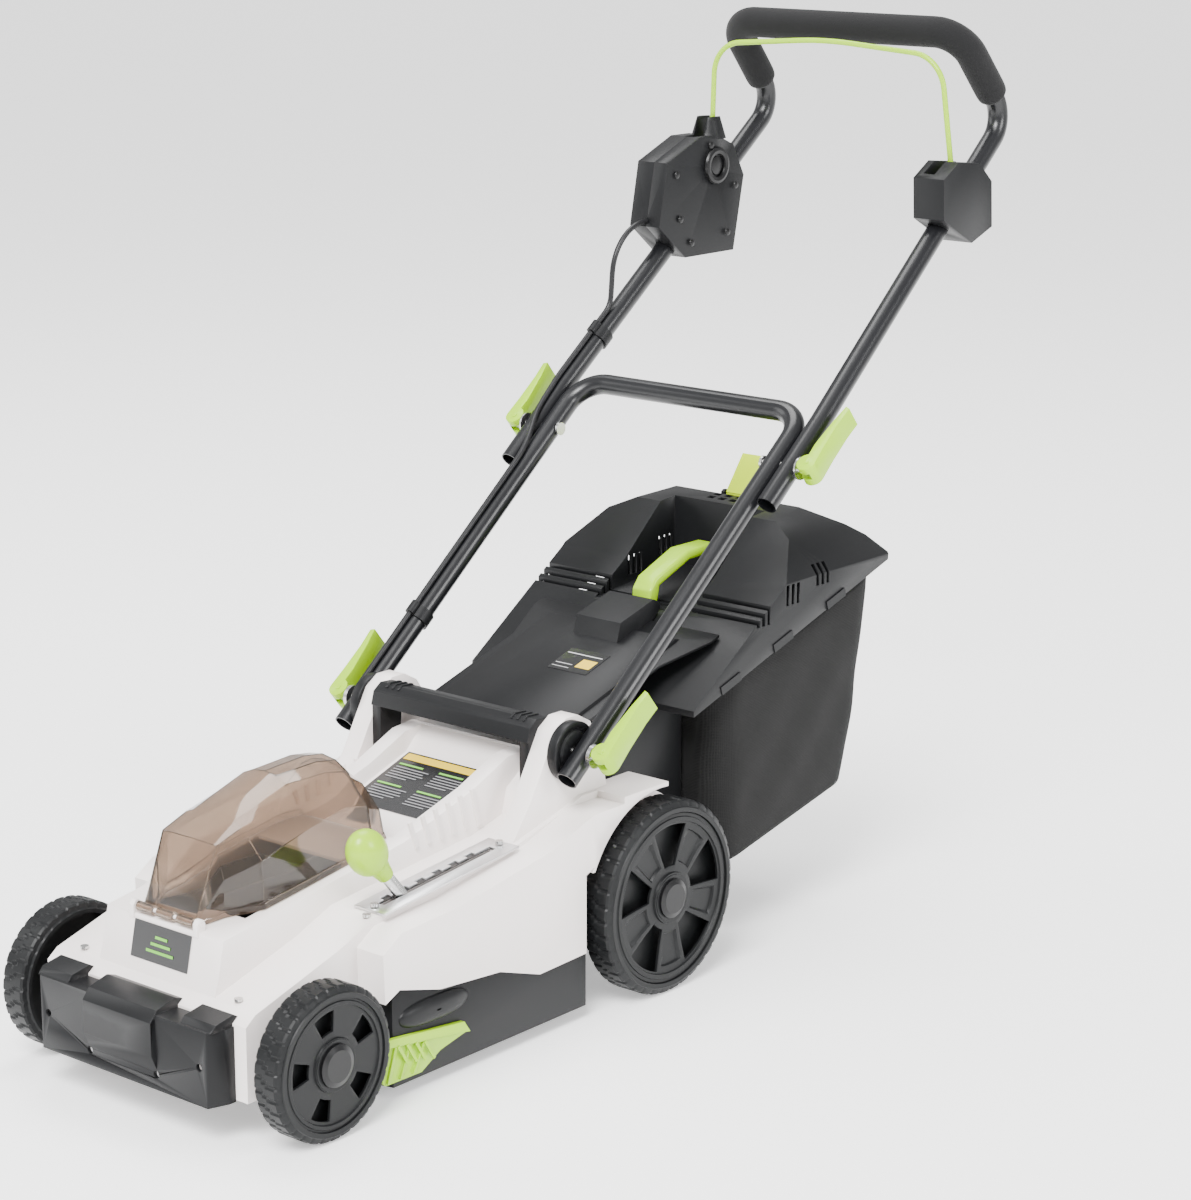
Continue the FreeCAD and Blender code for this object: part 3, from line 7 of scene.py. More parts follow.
import bmesh
import bpy
import json
import math
import numpy as np
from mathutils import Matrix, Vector

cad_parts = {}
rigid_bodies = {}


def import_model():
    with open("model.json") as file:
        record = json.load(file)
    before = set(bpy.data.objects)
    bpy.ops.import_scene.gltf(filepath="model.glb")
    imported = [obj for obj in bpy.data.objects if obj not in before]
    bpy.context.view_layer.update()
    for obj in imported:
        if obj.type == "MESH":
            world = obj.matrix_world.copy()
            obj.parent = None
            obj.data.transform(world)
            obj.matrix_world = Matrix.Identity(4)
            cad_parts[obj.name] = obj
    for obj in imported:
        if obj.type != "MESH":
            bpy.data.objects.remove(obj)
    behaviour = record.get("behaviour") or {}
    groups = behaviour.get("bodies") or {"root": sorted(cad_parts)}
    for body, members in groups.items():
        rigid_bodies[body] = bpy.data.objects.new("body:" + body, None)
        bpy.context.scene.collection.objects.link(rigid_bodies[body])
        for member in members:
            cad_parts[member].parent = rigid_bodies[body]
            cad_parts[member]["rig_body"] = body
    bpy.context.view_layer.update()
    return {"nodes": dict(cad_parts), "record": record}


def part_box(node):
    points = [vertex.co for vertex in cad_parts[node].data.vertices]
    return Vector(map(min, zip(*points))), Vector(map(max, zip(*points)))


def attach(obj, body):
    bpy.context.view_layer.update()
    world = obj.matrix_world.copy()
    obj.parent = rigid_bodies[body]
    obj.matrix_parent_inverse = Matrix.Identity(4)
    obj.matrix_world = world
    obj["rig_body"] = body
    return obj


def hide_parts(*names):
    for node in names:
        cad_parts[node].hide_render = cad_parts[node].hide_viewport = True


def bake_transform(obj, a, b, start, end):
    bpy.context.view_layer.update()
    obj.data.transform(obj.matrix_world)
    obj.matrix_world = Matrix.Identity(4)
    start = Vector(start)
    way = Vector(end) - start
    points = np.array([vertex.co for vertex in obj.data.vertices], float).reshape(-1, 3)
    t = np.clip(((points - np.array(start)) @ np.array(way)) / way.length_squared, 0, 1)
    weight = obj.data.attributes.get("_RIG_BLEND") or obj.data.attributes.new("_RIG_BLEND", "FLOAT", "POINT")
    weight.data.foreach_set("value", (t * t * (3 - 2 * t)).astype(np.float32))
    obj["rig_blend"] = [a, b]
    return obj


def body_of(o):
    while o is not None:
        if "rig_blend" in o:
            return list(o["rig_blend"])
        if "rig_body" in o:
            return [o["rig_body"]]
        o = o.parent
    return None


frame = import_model()
nodes = frame["nodes"]
AXLE_Y = sum(corner[1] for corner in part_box("front_wheel_left")) / 2


# %% [markdown]
# ## Two ways to make a surface
# A moulded shape is a function of two parameters, so it is worked out as one grid of points and
# handed to the mesh in a single call. Distances are written in millimetres from the front axle's
# line on the ground, as a maker would measure them, and turned into metres at the end.

# %% Grid and mesh helpers
def to_frame(points):
    """Millimetres from the front axle to metres in the frame: divide by 1000, then add the axle's y."""
    return np.asarray(points, float) / 1000 + np.array([0.0, AXLE_Y, 0.0])


def make_piece(name, points, faces, body, smooth=True):
    """A mesh of frame points (n, 3) and faces, riding on a CAD body."""
    mesh = bpy.data.meshes.new(name)
    corners = [tuple(point) for point in np.asarray(points).tolist()]
    loops = [tuple(face) for face in np.asarray(faces).tolist()]
    mesh.from_pydata(corners, [], loops)
    mesh.polygons.foreach_set("use_smooth", [smooth] * len(mesh.polygons))
    mesh.update()
    piece = bpy.data.objects.new(name, mesh)
    bpy.context.scene.collection.objects.link(piece)
    if body is None:
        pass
    else:
        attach(piece, body)
    return piece


def grid_faces(rows, columns, close_rows=False, close_columns=False):
    """Quads between neighbours of a rows by columns grid; a closed way joins its last line to its first."""
    i = np.arange(rows if close_rows else rows - 1)
    j = np.arange(columns if close_columns else columns - 1)
    i, j = np.meshgrid(i, j, indexing="ij")
    this_row, next_row = i * columns, ((i + 1) % rows) * columns
    next_column = (j + 1) % columns
    corners = [this_row + j, this_row + next_column, next_row + next_column, next_row + j]
    return np.stack(corners, -1).reshape(-1, 4)


def tidy(piece, merge=1e-5):
    """Joins doubled points and makes the faces' directions agree."""
    work = bmesh.new()
    work.from_mesh(piece.data)
    bmesh.ops.remove_doubles(work, verts=work.verts, dist=merge)
    bmesh.ops.recalc_face_normals(work, faces=work.faces)
    work.to_mesh(piece.data)
    work.free()
    return piece


def soften(piece, width, segments=2, angle=34):
    """Rounds the edges sharper than an angle, as a mould does."""
    weld = piece.modifiers.new("joined", "WELD")
    weld.merge_threshold = 0.00002
    bevel = piece.modifiers.new("rounded", "BEVEL")
    bevel.width = width
    bevel.segments = segments
    bevel.limit_method = "ANGLE"
    bevel.angle_limit = math.radians(angle)
    bevel.harden_normals = True
    return piece


def shade_by_angle(piece, angle=32):
    """Smooth shading across shallow edges and a crisp break across sharp ones."""
    piece.data.polygons.foreach_set("use_smooth", [True] * len(piece.data.polygons))
    piece.data.set_sharp_from_angle(angle=math.radians(angle))
    return piece


# %% [markdown]
# ## Finishes as node groups
# Moulded plastic is never one flat colour: the tool leaves a fine grain, the colour drifts a little
# across a part, and the gloss changes where the grain is shallow. These effects are shared by
# several materials, so they live in one node group that takes the colour and returns the colour,
# the roughness and the bumped normal.

# %% Shared surface group
# The broad noise behind the drift: about nine repeats to the metre.
BROAD_SCALE, BROAD_DETAIL = 9.0, 4.0


def new_group(name, inputs, outputs):
    """An empty shader group with named sockets."""
    group = bpy.data.node_groups.new(name, "ShaderNodeTree")
    for title, kind, value in inputs:
        socket = group.interface.new_socket(name=title, in_out="INPUT", socket_type=kind)
        if value is not None:
            socket.default_value = value
    for title, kind in outputs:
        group.interface.new_socket(name=title, in_out="OUTPUT", socket_type=kind)
    return group, group.nodes.new("NodeGroupInput"), group.nodes.new("NodeGroupOutput")


def noise(tree, vector, scale, detail):
    """A noise value at a vector: scale is in repeats to the metre."""
    node = tree.nodes.new("ShaderNodeTexNoise")
    node.inputs["Scale"].default_value = scale
    node.inputs["Detail"].default_value = detail
    tree.links.new(vector, node.inputs["Vector"])
    return node.outputs["Fac"]


def surface_group(name, stretch=None, cell=False):
    """Colour drift, roughness variation and a fine bump; stretch gives brush lines, cell gives foam cells."""
    group, start, end = new_group(
        name,
        [("Colour", "NodeSocketColor", (0.5, 0.5, 0.5, 1)), ("Drift", "NodeSocketFloat", 0.06),
         ("Roughness", "NodeSocketFloat", 0.5), ("Change", "NodeSocketFloat", 0.08),
         ("Grain", "NodeSocketFloat", 900.0), ("Depth", "NodeSocketFloat", 0.00002)],
        [("Base Color", "NodeSocketColor"), ("Roughness", "NodeSocketFloat"), ("Normal", "NodeSocketVector")])
    place = group.nodes.new("ShaderNodeTexCoord").outputs["Object"]
    broad = noise(group, place, BROAD_SCALE, BROAD_DETAIL)
    fine = group.nodes.new("ShaderNodeTexVoronoi" if cell else "ShaderNodeTexNoise")
    source = place
    if stretch is not None:
        mapping = group.nodes.new("ShaderNodeMapping")
        mapping.inputs["Scale"].default_value = stretch
        group.links.new(place, mapping.inputs["Vector"])
        source = mapping.outputs["Vector"]
    group.links.new(source, fine.inputs["Vector"])
    group.links.new(start.outputs["Grain"], fine.inputs["Scale"])
    grain = fine.outputs["Distance" if cell else "Fac"]
    lift = group.nodes.new("ShaderNodeMath")
    lift.operation = "MULTIPLY_ADD"
    centred = group.nodes.new("ShaderNodeMath")
    centred.operation = "SUBTRACT"
    centred.inputs[1].default_value = 0.5
    group.links.new(broad, centred.inputs[0])
    group.links.new(centred.outputs[0], lift.inputs[0])
    group.links.new(start.outputs["Drift"], lift.inputs[1])
    lift.inputs[2].default_value = 1.0
    tint = group.nodes.new("ShaderNodeVectorMath")
    tint.operation = "SCALE"
    group.links.new(start.outputs["Colour"], tint.inputs[0])
    group.links.new(lift.outputs[0], tint.inputs["Scale"])
    group.links.new(tint.outputs[0], end.inputs["Base Color"])
    rough = group.nodes.new("ShaderNodeMath")
    rough.operation = "MULTIPLY_ADD"
    group.links.new(centred.outputs[0], rough.inputs[0])
    group.links.new(start.outputs["Change"], rough.inputs[1])
    group.links.new(start.outputs["Roughness"], rough.inputs[2])
    group.links.new(rough.outputs[0], end.inputs["Roughness"])
    bump = group.nodes.new("ShaderNodeBump")
    group.links.new(grain, bump.inputs["Height"])
    group.links.new(start.outputs["Depth"], bump.inputs["Distance"])
    group.links.new(bump.outputs["Normal"], end.inputs["Normal"])
    return group


MOULDED = surface_group("Moulded surface")
BRUSHED = surface_group("Brushed metal", stretch=(1, 30, 30))
FOAMED = surface_group("Closed cells", cell=True)
print("groups:", [group.name for group in bpy.data.node_groups])


# %% [markdown]
# ## One helper for every finish
# The mower's plastics, metals and foam differ only in colour, gloss, grain and metal share. Each
# could be wired by hand, but one function that fills the sockets of a group keeps them easy to compare.

# %% Material helper
def finish_of(name, colour, roughness, group=None, drift=0.1, change=0.12, grain=1400.0, depth=0.00002,
              metallic=0.0, coat=0.0, specular=0.5, sheen=0.0):
    """A Principled material whose colour, roughness and normal come from a surface group."""
    material = bpy.data.materials.new(name)
    material.use_nodes = True
    tree = material.node_tree
    shader = next(node for node in tree.nodes if node.type == "BSDF_PRINCIPLED")
    inner = tree.nodes.new("ShaderNodeGroup")
    inner.node_tree = group or MOULDED
    inner.inputs["Colour"].default_value = (*colour, 1)
    for title, value in (("Drift", drift), ("Roughness", roughness), ("Change", change), ("Grain", grain),
                         ("Depth", depth)):
        inner.inputs[title].default_value = value
    for title in ("Base Color", "Roughness", "Normal"):
        tree.links.new(inner.outputs[title], shader.inputs[title])
    shader.inputs["Metallic"].default_value = metallic
    shader.inputs["Coat Weight"].default_value = coat
    shader.inputs["Specular IOR Level"].default_value = specular
    shader.inputs["Sheen Weight"].default_value = sheen
    material.diffuse_color = (*colour, 1)
    return material


# %% [markdown]
# ## The mower's finishes
# The deck is glossy off-white plastic, the bumper, flap, bag lid and switch box are black plastic
# with a fine leather-like grain, the levers are bright lime, and the tubes are powder coated steel.

# %% Materials
WHITE = finish_of("white deck plastic", (0.86, 0.80, 0.775), 0.36, drift=0.05, grain=500, depth=0.00002,
                  coat=0.12)
BLACK = finish_of("grained black plastic", (0.0065, 0.0068, 0.0075), 0.42, drift=0.5, grain=1500,
                  depth=0.00006, specular=0.22)
SATIN = finish_of("smooth black plastic", (0.005, 0.005, 0.0055), 0.30, drift=0.4, grain=700,
                  depth=0.00002, specular=0.3)
WHEEL = finish_of("wheel plastic", (0.0075, 0.008, 0.0085), 0.42, drift=0.6, grain=900, depth=0.00006,
                  specular=0.2)
LIME = finish_of("lime plastic", (0.33, 0.58, 0.002), 0.34, drift=0.1, grain=700, depth=0.00003,
                 coat=0.15, specular=0.3)
FLAG = finish_of("signal lime plastic", (0.50, 0.68, 0.0), 0.4, drift=0.08, grain=700, specular=0.3)
STEEL = finish_of("zinc plated steel", (0.60, 0.60, 0.59), 0.27, BRUSHED, grain=160, depth=0.00001,
                  metallic=1.0)
SILVER = finish_of("brushed aluminium", (0.70, 0.70, 0.71), 0.36, BRUSHED, grain=260, depth=0.00002,
                   metallic=1.0)
BRASS = finish_of("contact brass", (0.75, 0.55, 0.22), 0.3, BRUSHED, grain=200, metallic=1.0)
CASTING = finish_of("dark casting", (0.12, 0.12, 0.125), 0.55, grain=400, depth=0.0001, metallic=0.7)
TUBE = finish_of("powder coated tube", (0.006, 0.0063, 0.0075), 0.30, drift=0.4, grain=1300,
                 depth=0.00005, coat=0.1, specular=0.4)
JACKET = finish_of("cable jacket", (0.012, 0.012, 0.013), 0.38, drift=0.3, grain=300, specular=0.3)
FOAM = finish_of("foam sleeve", (0.008, 0.008, 0.0085), 0.9, FOAMED, drift=0.5, grain=900, depth=0.0003,
                 sheen=0.06, specular=0.2)
BOARD = finish_of("circuit board", (0.03, 0.16, 0.07), 0.4, grain=500)
PRINT_WHITE = finish_of("white print", (0.62, 0.62, 0.62), 0.5)
PRINT_GREY = finish_of("grey print", (0.22, 0.22, 0.23), 0.5)
PRINT_YELLOW = finish_of("yellow print", (0.72, 0.50, 0.02), 0.5)
PRINT_GREEN = finish_of("green print", (0.16, 0.50, 0.05), 0.5)
LABEL = finish_of("black label film", (0.011, 0.011, 0.012), 0.25, drift=0.2, grain=200, coat=0.3)

finish_by_slot = {
    "deck_white": WHITE, "black_plastic": BLACK, "lime_plastic": LIME, "label_black": LABEL,
    "contact_brass": BRASS, "board_green": BOARD, "motor_metal": CASTING, "plate_silver": SILVER,
    "steel": STEEL, "pin_white": WHITE, "blade_steel": TUBE, "axle_steel": STEEL, "wheel_black": WHEEL,
    "cap_black": SATIN, "flag_lime": FLAG, "tube_black": TUBE, "cable_black": JACKET, "foam_black": FOAM,
    "bail_lime": LIME, "bag_fabric": BLACK,
}
print("finishes:", len(set(material.name for material in finish_by_slot.values())))


# %% [markdown]
# ## Smoked cover
# The cover over the battery bay is clear plastic with a brown-grey smoke tint, thin enough to see
# the dark bay through it. Glass keeps a plain transmission value, and the tint sits in the colour.

# %% Smoked plastic
SMOKE = bpy.data.materials.new("smoked clear plastic")
SMOKE.use_nodes = True
smoke_shader = next(node for node in SMOKE.node_tree.nodes if node.type == "BSDF_PRINCIPLED")
smoke_shader.inputs["Base Color"].default_value = (0.50, 0.405, 0.33, 1)
smoke_shader.inputs["Roughness"].default_value = 0.05
smoke_shader.inputs["IOR"].default_value = 1.46
smoke_shader.inputs["Transmission Weight"].default_value = 0.97
finish_by_slot["smoked_clear"] = SMOKE

slot_of = {entry["node"]: entry["material_slot"] for entry in frame["record"]["subparts"]}
for name, piece in nodes.items():
    piece.data.materials.clear()
    piece.data.materials.append(finish_by_slot[slot_of[name]])
print("finishes set on", len(nodes), "nodes")


# %% [markdown]
# ## Rounded edges on the solids
# A moulded edge always has a small radius that catches the light. The CAD nodes are left as they
# are, and a weld and a bevel modifier round their edges when they are drawn.

# %% Edge radii
EDGE = {
    "upper_deck": 0.0026, "lower_deck": 0.0012, "front_bumper": 0.0022, "edge_combs": 0.0012,
    "carry_handle": 0.003, "handle_hubs": 0.0012, "height_plate": 0.0004, "rear_flap": 0.0012,
    "bag_lid": 0.0014, "bag_frame": 0.0012, "bag_handle": 0.0026, "fill_flag": 0.0012,
    "switch_box": 0.003, "switch_box_cover": 0.003, "bail_clamp": 0.003, "start_button": 0.0012,
    "cam_lever_lower_left": 0.0018, "cam_lever_lower_right": 0.0018, "cam_lever_upper_left": 0.0018,
    "cam_lever_upper_right": 0.0018, "height_lever": 0.0006, "battery_tray": 0.0012,
    "discharge_chute": 0.001, "front_axle": 0.0008, "rear_axle": 0.0008,
}
for name, piece in nodes.items():
    shade_by_angle(piece)
    if name in EDGE:
        soften(piece, EDGE[name])
print("edges rounded on", sum(name in EDGE for name in nodes), "of", len(nodes), "nodes")


# %% [markdown]
# ## Wheels
# A mower wheel is one moulding: a hollow ring with tread blocks that grip the grass, and a face of
# five broad spokes with windows between them. The ring is a closed profile turned about the axle,
# so it is one grid, and the grooves between the blocks only lower the grid's radius.

# %% Turned profile
# Grid steps along one pitch of the tread, which is one block and one groove.
PITCH_STEPS = 8


def turned(name, profile, steps, centre, outward, body, groove=None):
    """A closed profile turned about the x axis through centre.

    x = face - outward * depth, y = r * cos(a), z = r * sin(a), with r lowered by
    cut * groove(step + lag). Each profile row is (depth, r, cut, lag).
    """
    depth, radius, cut, lag = np.array(profile, float).T
    step = np.arange(steps)[:, None]
    turn = 2 * np.pi * step / steps
    lowered = radius - (cut * groove(step + lag) if groove else 0 * turn)
    x = centre[0] - outward * depth + 0 * turn
    points = np.stack([x, centre[1] + lowered * np.cos(turn), centre[2] + lowered * np.sin(turn)], -1)
    faces = grid_faces(steps, len(depth), True, True)
    piece = tidy(make_piece(name, to_frame(points.reshape(-1, 3)), faces, body))
    return shade_by_angle(piece, 20)


# %% [markdown]
# ## Spoked face
# The face is a sheet of plastic about three millimetres thick. A grid in polar form is bent so that
# two of its lines follow each window's sides, the squares inside the windows are dropped, and the
# Solidify modifier gives the sheet its thickness. The panels in the spokes are only a change of depth.

# %% Spoked face
SPOKES = 5
WINDOW_LINES, SPOKE_LINES = 9, 15
SHEET = 0.003


def wheel_face(name, rings, window, spoke_panel, centre, outward, body, phase):
    """Polar grid with five windows.

    rings is (radius, depth) rows; window is (inner r, outer r, inner half width, outer half width);
    spoke_panel is (inner r, outer r, share of the spoke, extra depth). A window's half angle at
    radius r is half_width(r) / r.
    """
    radius, depth = np.array(rings, float).T
    inner, outer, near, far = window
    half = np.interp(radius, [inner, outer], [near, far]) / radius
    across = np.concatenate([np.linspace(-1, 1, WINDOW_LINES), np.linspace(1, 3, SPOKE_LINES)[1:-1]])
    gap = 2 * np.pi / SPOKES
    angle = np.where(across <= 1, across * half[:, None],
                     half[:, None] + (across - 1) / 2 * (gap - 2 * half[:, None]))
    turn = np.concatenate([angle + gap * k for k in range(SPOKES)], 1) + phase
    spoke = np.tile(np.where(across > 1, np.abs(across - 2), 2.0), SPOKES)
    low, high, share, sink = spoke_panel
    panel = ((radius[:, None] > low) & (radius[:, None] < high) & (spoke < share)) * sink
    x = centre[0] - outward * (depth[:, None] + panel)
    y = centre[1] + radius[:, None] * np.cos(turn)
    z = centre[2] + radius[:, None] * np.sin(turn)
    points = np.stack([x, y, z], -1)
    columns = turn.shape[1]
    faces = grid_faces(len(radius), columns, False, True)
    row, column = faces[:, 0] // columns, faces[:, 0] % columns % len(across)
    open_here = (radius[row] >= inner) & (radius[row] < outer) & (column < WINDOW_LINES - 1)
    piece = make_piece(name, to_frame(points.reshape(-1, 3)), faces[~open_here], body)
    tidy(piece)
    if sum(polygon.normal.x for polygon in piece.data.polygons) * outward < 0:
        piece.data.flip_normals()
    skin = piece.modifiers.new("skin", "SOLIDIFY")
    skin.thickness = SHEET
    skin.offset = -1
    edge = piece.modifiers.new("edge", "BEVEL")
    edge.width = 0.0006
    edge.segments = 2
    edge.limit_method = "ANGLE"
    edge.angle_limit = math.radians(40)
    piece.data.materials.append(WHEEL)
    return shade_by_angle(piece, 24)


# %% [markdown]
# ## Four wheels from two sets of numbers
# The rear and front wheels share one design at two sizes: a treaded ring, a spoked face, a hub and a
# dark web behind the windows. One function builds all four, so a change of design reaches each wheel.

# %% Four wheels
# Radius of the axle's bore, and the share of a pitch that the groove takes.
BORE = 5.06
GROOVE_SHARE = 0.25


def blocks(share):
    """A groove that repeats every pitch and takes the given share of its steps."""
    return lambda step: (np.mod(step, PITCH_STEPS) < PITCH_STEPS * share).astype(float)


def wheel(node, cap_depth, pitches, profile, rings, window, spoke_panel, phase):
    """Ring, face, hub and web in place of one CAD wheel."""
    low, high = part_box(node)
    outward = 1 if low[0] > 0 else -1
    face_x = (high[0] if outward > 0 else low[0]) * 1000
    centre = (face_x, ((low[1] + high[1]) / 2 - AXLE_Y) * 1000, (low[2] + high[2]) * 500)
    width = (high[0] - low[0]) * 1000
    body = body_of(nodes[node])[0]
    ring = turned(node + "_ring", profile, pitches * PITCH_STEPS, centre, outward, body, blocks(GROOVE_SHARE))
    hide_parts(node)
    hub = [(cap_depth, BORE, 0, 0), (cap_depth, 20, 0, 0), (0.6, 21.5, 0, 0), (0.6, 24, 0, 0), (4, 25, 0, 0),
           (12, 17, 0, 0), (width, 15, 0, 0), (width, BORE, 0, 0)]
    barrel = turned(node + "_hub", hub, 64, centre, outward, body)
    rim = rings[-1][0]
    middle = width * 0.42
    web = turned(node + "_web", [(middle, 16, 0, 0), (middle, rim + 2, 0, 0), (middle + 2, rim + 2, 0, 0),
                                 (middle + 2, 16, 0, 0)], 48, centre, outward, body)
    for part in (ring, barrel, web):
        part.data.materials.append(WHEEL)
    wheel_face(node + "_face", rings, window, spoke_panel, centre, outward, body, phase)
    return ring


def tyre(radius, width, rim):
    """Ring profile: outer lip, shoulder, two rows of blocks with a lag of half a pitch, inner lip."""
    middle = width / 2
    return [(3.5, rim, 0, 0), (0.4, rim + 0.5, 0, 0), (0.2, rim + 5, 0, 0), (1.4, rim + 5.8, 0, 0),
            (1.6, radius - 6.2, 0, 0), (2.0, radius - 5.4, 0.8, 0), (3.4, radius - 1.6, 1.1, 0),
            (5.6, radius, 1.3, 0), (middle - 4, radius, 1.3, 0), (middle - 1, radius, 1.3, 2),
            (middle + 1, radius, 1.3, 2), (middle + 4, radius, 1.3, 4), (width - 5.6, radius, 1.3, 4),
            (width - 3.4, radius - 1.6, 1.1, 4), (width - 2.0, radius - 5.4, 0.8, 4),
            (width - 0.4, radius - 7, 0, 0), (width - 0.4, rim + 1, 0, 0), (width - 3, rim, 0, 0),
            (width - 4, rim + 5, 0, 0), (6, rim + 5, 0, 0)]


# Radius and depth of each ring of the faces' grids.
REAR_RINGS = [(22, 1.2), (26, 1.2), (26.6, 3.4), (33, 3.8), (36, 3.8), (36.6, 3.8), (38, 3.8), (50, 4),
              (62, 3.6), (70, 3.2), (71, 3.2), (76, 2.8), (78, 2.6), (78.6, 0.9), (83, 0.9),
              (83.6, 2.0), (87, 2.0)]
FRONT_RINGS = [(22, 1.2), (25, 1.2), (25.6, 3.2), (32, 3.2), (38, 3.1), (45, 3.0), (52, 2.9), (55, 2.8),
               (55.6, 1.0), (59, 1.0), (59.6, 2.0), (62, 2.0)]
for side in ("left", "right"):
    wheel(f"rear_wheel_{side}", cap_depth=0.95, pitches=40, profile=tyre(100, 38, 87.5), rings=REAR_RINGS,
          window=(33, 76, 8, 25), spoke_panel=(37.5, 70.5, 0.62, 2.4), phase=0.33)
    wheel(f"front_wheel_{side}", cap_depth=1.05, pitches=34, profile=tyre(73, 35, 61.5), rings=FRONT_RINGS,
          window=(32, 52, 7, 12.5), spoke_panel=(0, 1, 0.5, 0), phase=0.55)


# %% [markdown]
# ## Smoked battery cover
# The cover is a thin clear moulding. It rises from three hinge knuckles at the front, is widest over
# the packs, and has flat facets that meet in crisp creases, because flat facets hide scratches and
# stiffen a thin wall. Sections across it share one polyline, so neighbouring sections make the facets.

# %% Battery cover
# One row per section: y, half width, crown z, upper crease x and z, lower crease x and z.
SECTIONS = np.array([
    (-23.0, 37, 181, 34, 180.5, 36, 179.0), (3, 45, 246, 36, 245, 45, 214), (34, 66, 262, 37.5, 255, 64, 228),
    (66, 66.5, 274, 39, 262, 62, 236), (100, 66.5, 286.5, 40, 269, 60, 243),
    (150, 66.5, 289, 44, 266, 57, 250),
    (176, 66.5, 285.5, 46, 259, 58, 245), (179, 66, 279, 44, 254, 56, 241), (200, 57, 263, 40, 245, 51, 234)])
station_y, half_width, crown_z, upper_x, upper_z, lower_x, lower_z = SECTIONS.T
# Height of the bay's rim where it starts, that start's y, and the rim's rise to the rear.
RIM_Z, RIM_Y, RIM_RISE = 174.4, -21, 0.1429
rim_z = RIM_Z + (station_y - RIM_Y) * RIM_RISE
half_x = np.stack([half_width, half_width, half_width - 1.2, lower_x, upper_x, upper_x * 0.72, upper_x * 0.38,
                   0 * upper_x], -1)
half_z = np.stack([rim_z, rim_z + np.minimum(6, (lower_z - rim_z) * 0.5),
                   rim_z + np.minimum(7.2, (lower_z - rim_z) * 0.6), lower_z, upper_z,
                   upper_z + (crown_z - upper_z) * 0.58, upper_z + (crown_z - upper_z) * 0.9, crown_z], -1)
section_x = np.concatenate([half_x, -half_x[:, -2::-1]], 1)
section_z = np.concatenate([half_z, half_z[:, -2::-1]], 1)
body_points = np.stack([section_x, station_y[:, None] + 0 * section_x, section_z], -1)
rear_foot = body_points[-1].copy()
rear_foot[:, 2] = rim_z[-1] + 0.03 * (rear_foot[:, 2] - rim_z[-1])
REAR_FOOT_Y = 202.8
rear_foot[:, 1] = REAR_FOOT_Y
cover_points = np.concatenate([body_points, rear_foot[None]])
cover = make_piece("smoked_cover", to_frame(cover_points.reshape(-1, 3)),
                   grid_faces(len(SECTIONS) + 1, section_x.shape[1]), "cover")
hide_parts("battery_cover")
tidy(cover)
if sum(polygon.normal.z for polygon in cover.data.polygons) < 0:
    cover.data.flip_normals()
wall = cover.modifiers.new("wall", "SOLIDIFY")
WALL = 0.0022
wall.thickness = WALL
wall.offset = -1
wall.use_even_offset = True
crease = cover.modifiers.new("crease", "BEVEL")
crease.width = 0.0008
crease.segments = 2
crease.limit_method = "ANGLE"
crease.angle_limit = math.radians(24)
shade_by_angle(cover, 14)
cover.data.materials.append(SMOKE)

# Three short tubes round the hinge pins: half length, y and z of the pins, bore and outer radius.
KNUCKLE_HALF, HINGE_Y, HINGE_Z, KNUCKLE_BORE, KNUCKLE_RADIUS = 10.5, -27, 179, 2.1, 4.6
pin_low, pin_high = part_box("hinge_pins")
for i, x in enumerate((-27.0, 0.0, 27.0)):
    ends = [x - KNUCKLE_HALF, x - KNUCKLE_HALF, x + KNUCKLE_HALF, x + KNUCKLE_HALF]
    across, ring = np.meshgrid(ends, np.linspace(0, 2 * np.pi, 24, endpoint=False))
    reach = np.array([KNUCKLE_BORE, KNUCKLE_RADIUS, KNUCKLE_RADIUS, KNUCKLE_BORE])
    knuckle_points = np.stack([across, HINGE_Y + reach * np.cos(ring), HINGE_Z + reach * np.sin(ring)], -1)
    knuckle = make_piece(f"cover_knuckle_{i}", to_frame(knuckle_points.reshape(-1, 3)),
                         grid_faces(24, 4, True, True), "cover")
    tidy(knuckle)
    shade_by_angle(knuckle)
    knuckle.data.materials.append(SMOKE)
print("cover facets:", len(cover.data.polygons))
print("hinge pins from x", round(pin_low[0] * 1000, 1), "to", round(pin_high[0] * 1000, 1), "mm")


# %% [markdown]
# ## Fabric grass bag
# The bag hangs from the lid's rim and carries nothing when empty, so its walls belly outwards a
# little and crease diagonally from the corners where the cloth is pulled. It is a lofted shell: each
# level is a rounded rectangle, and the levels run from the rim down to the sagging floor.

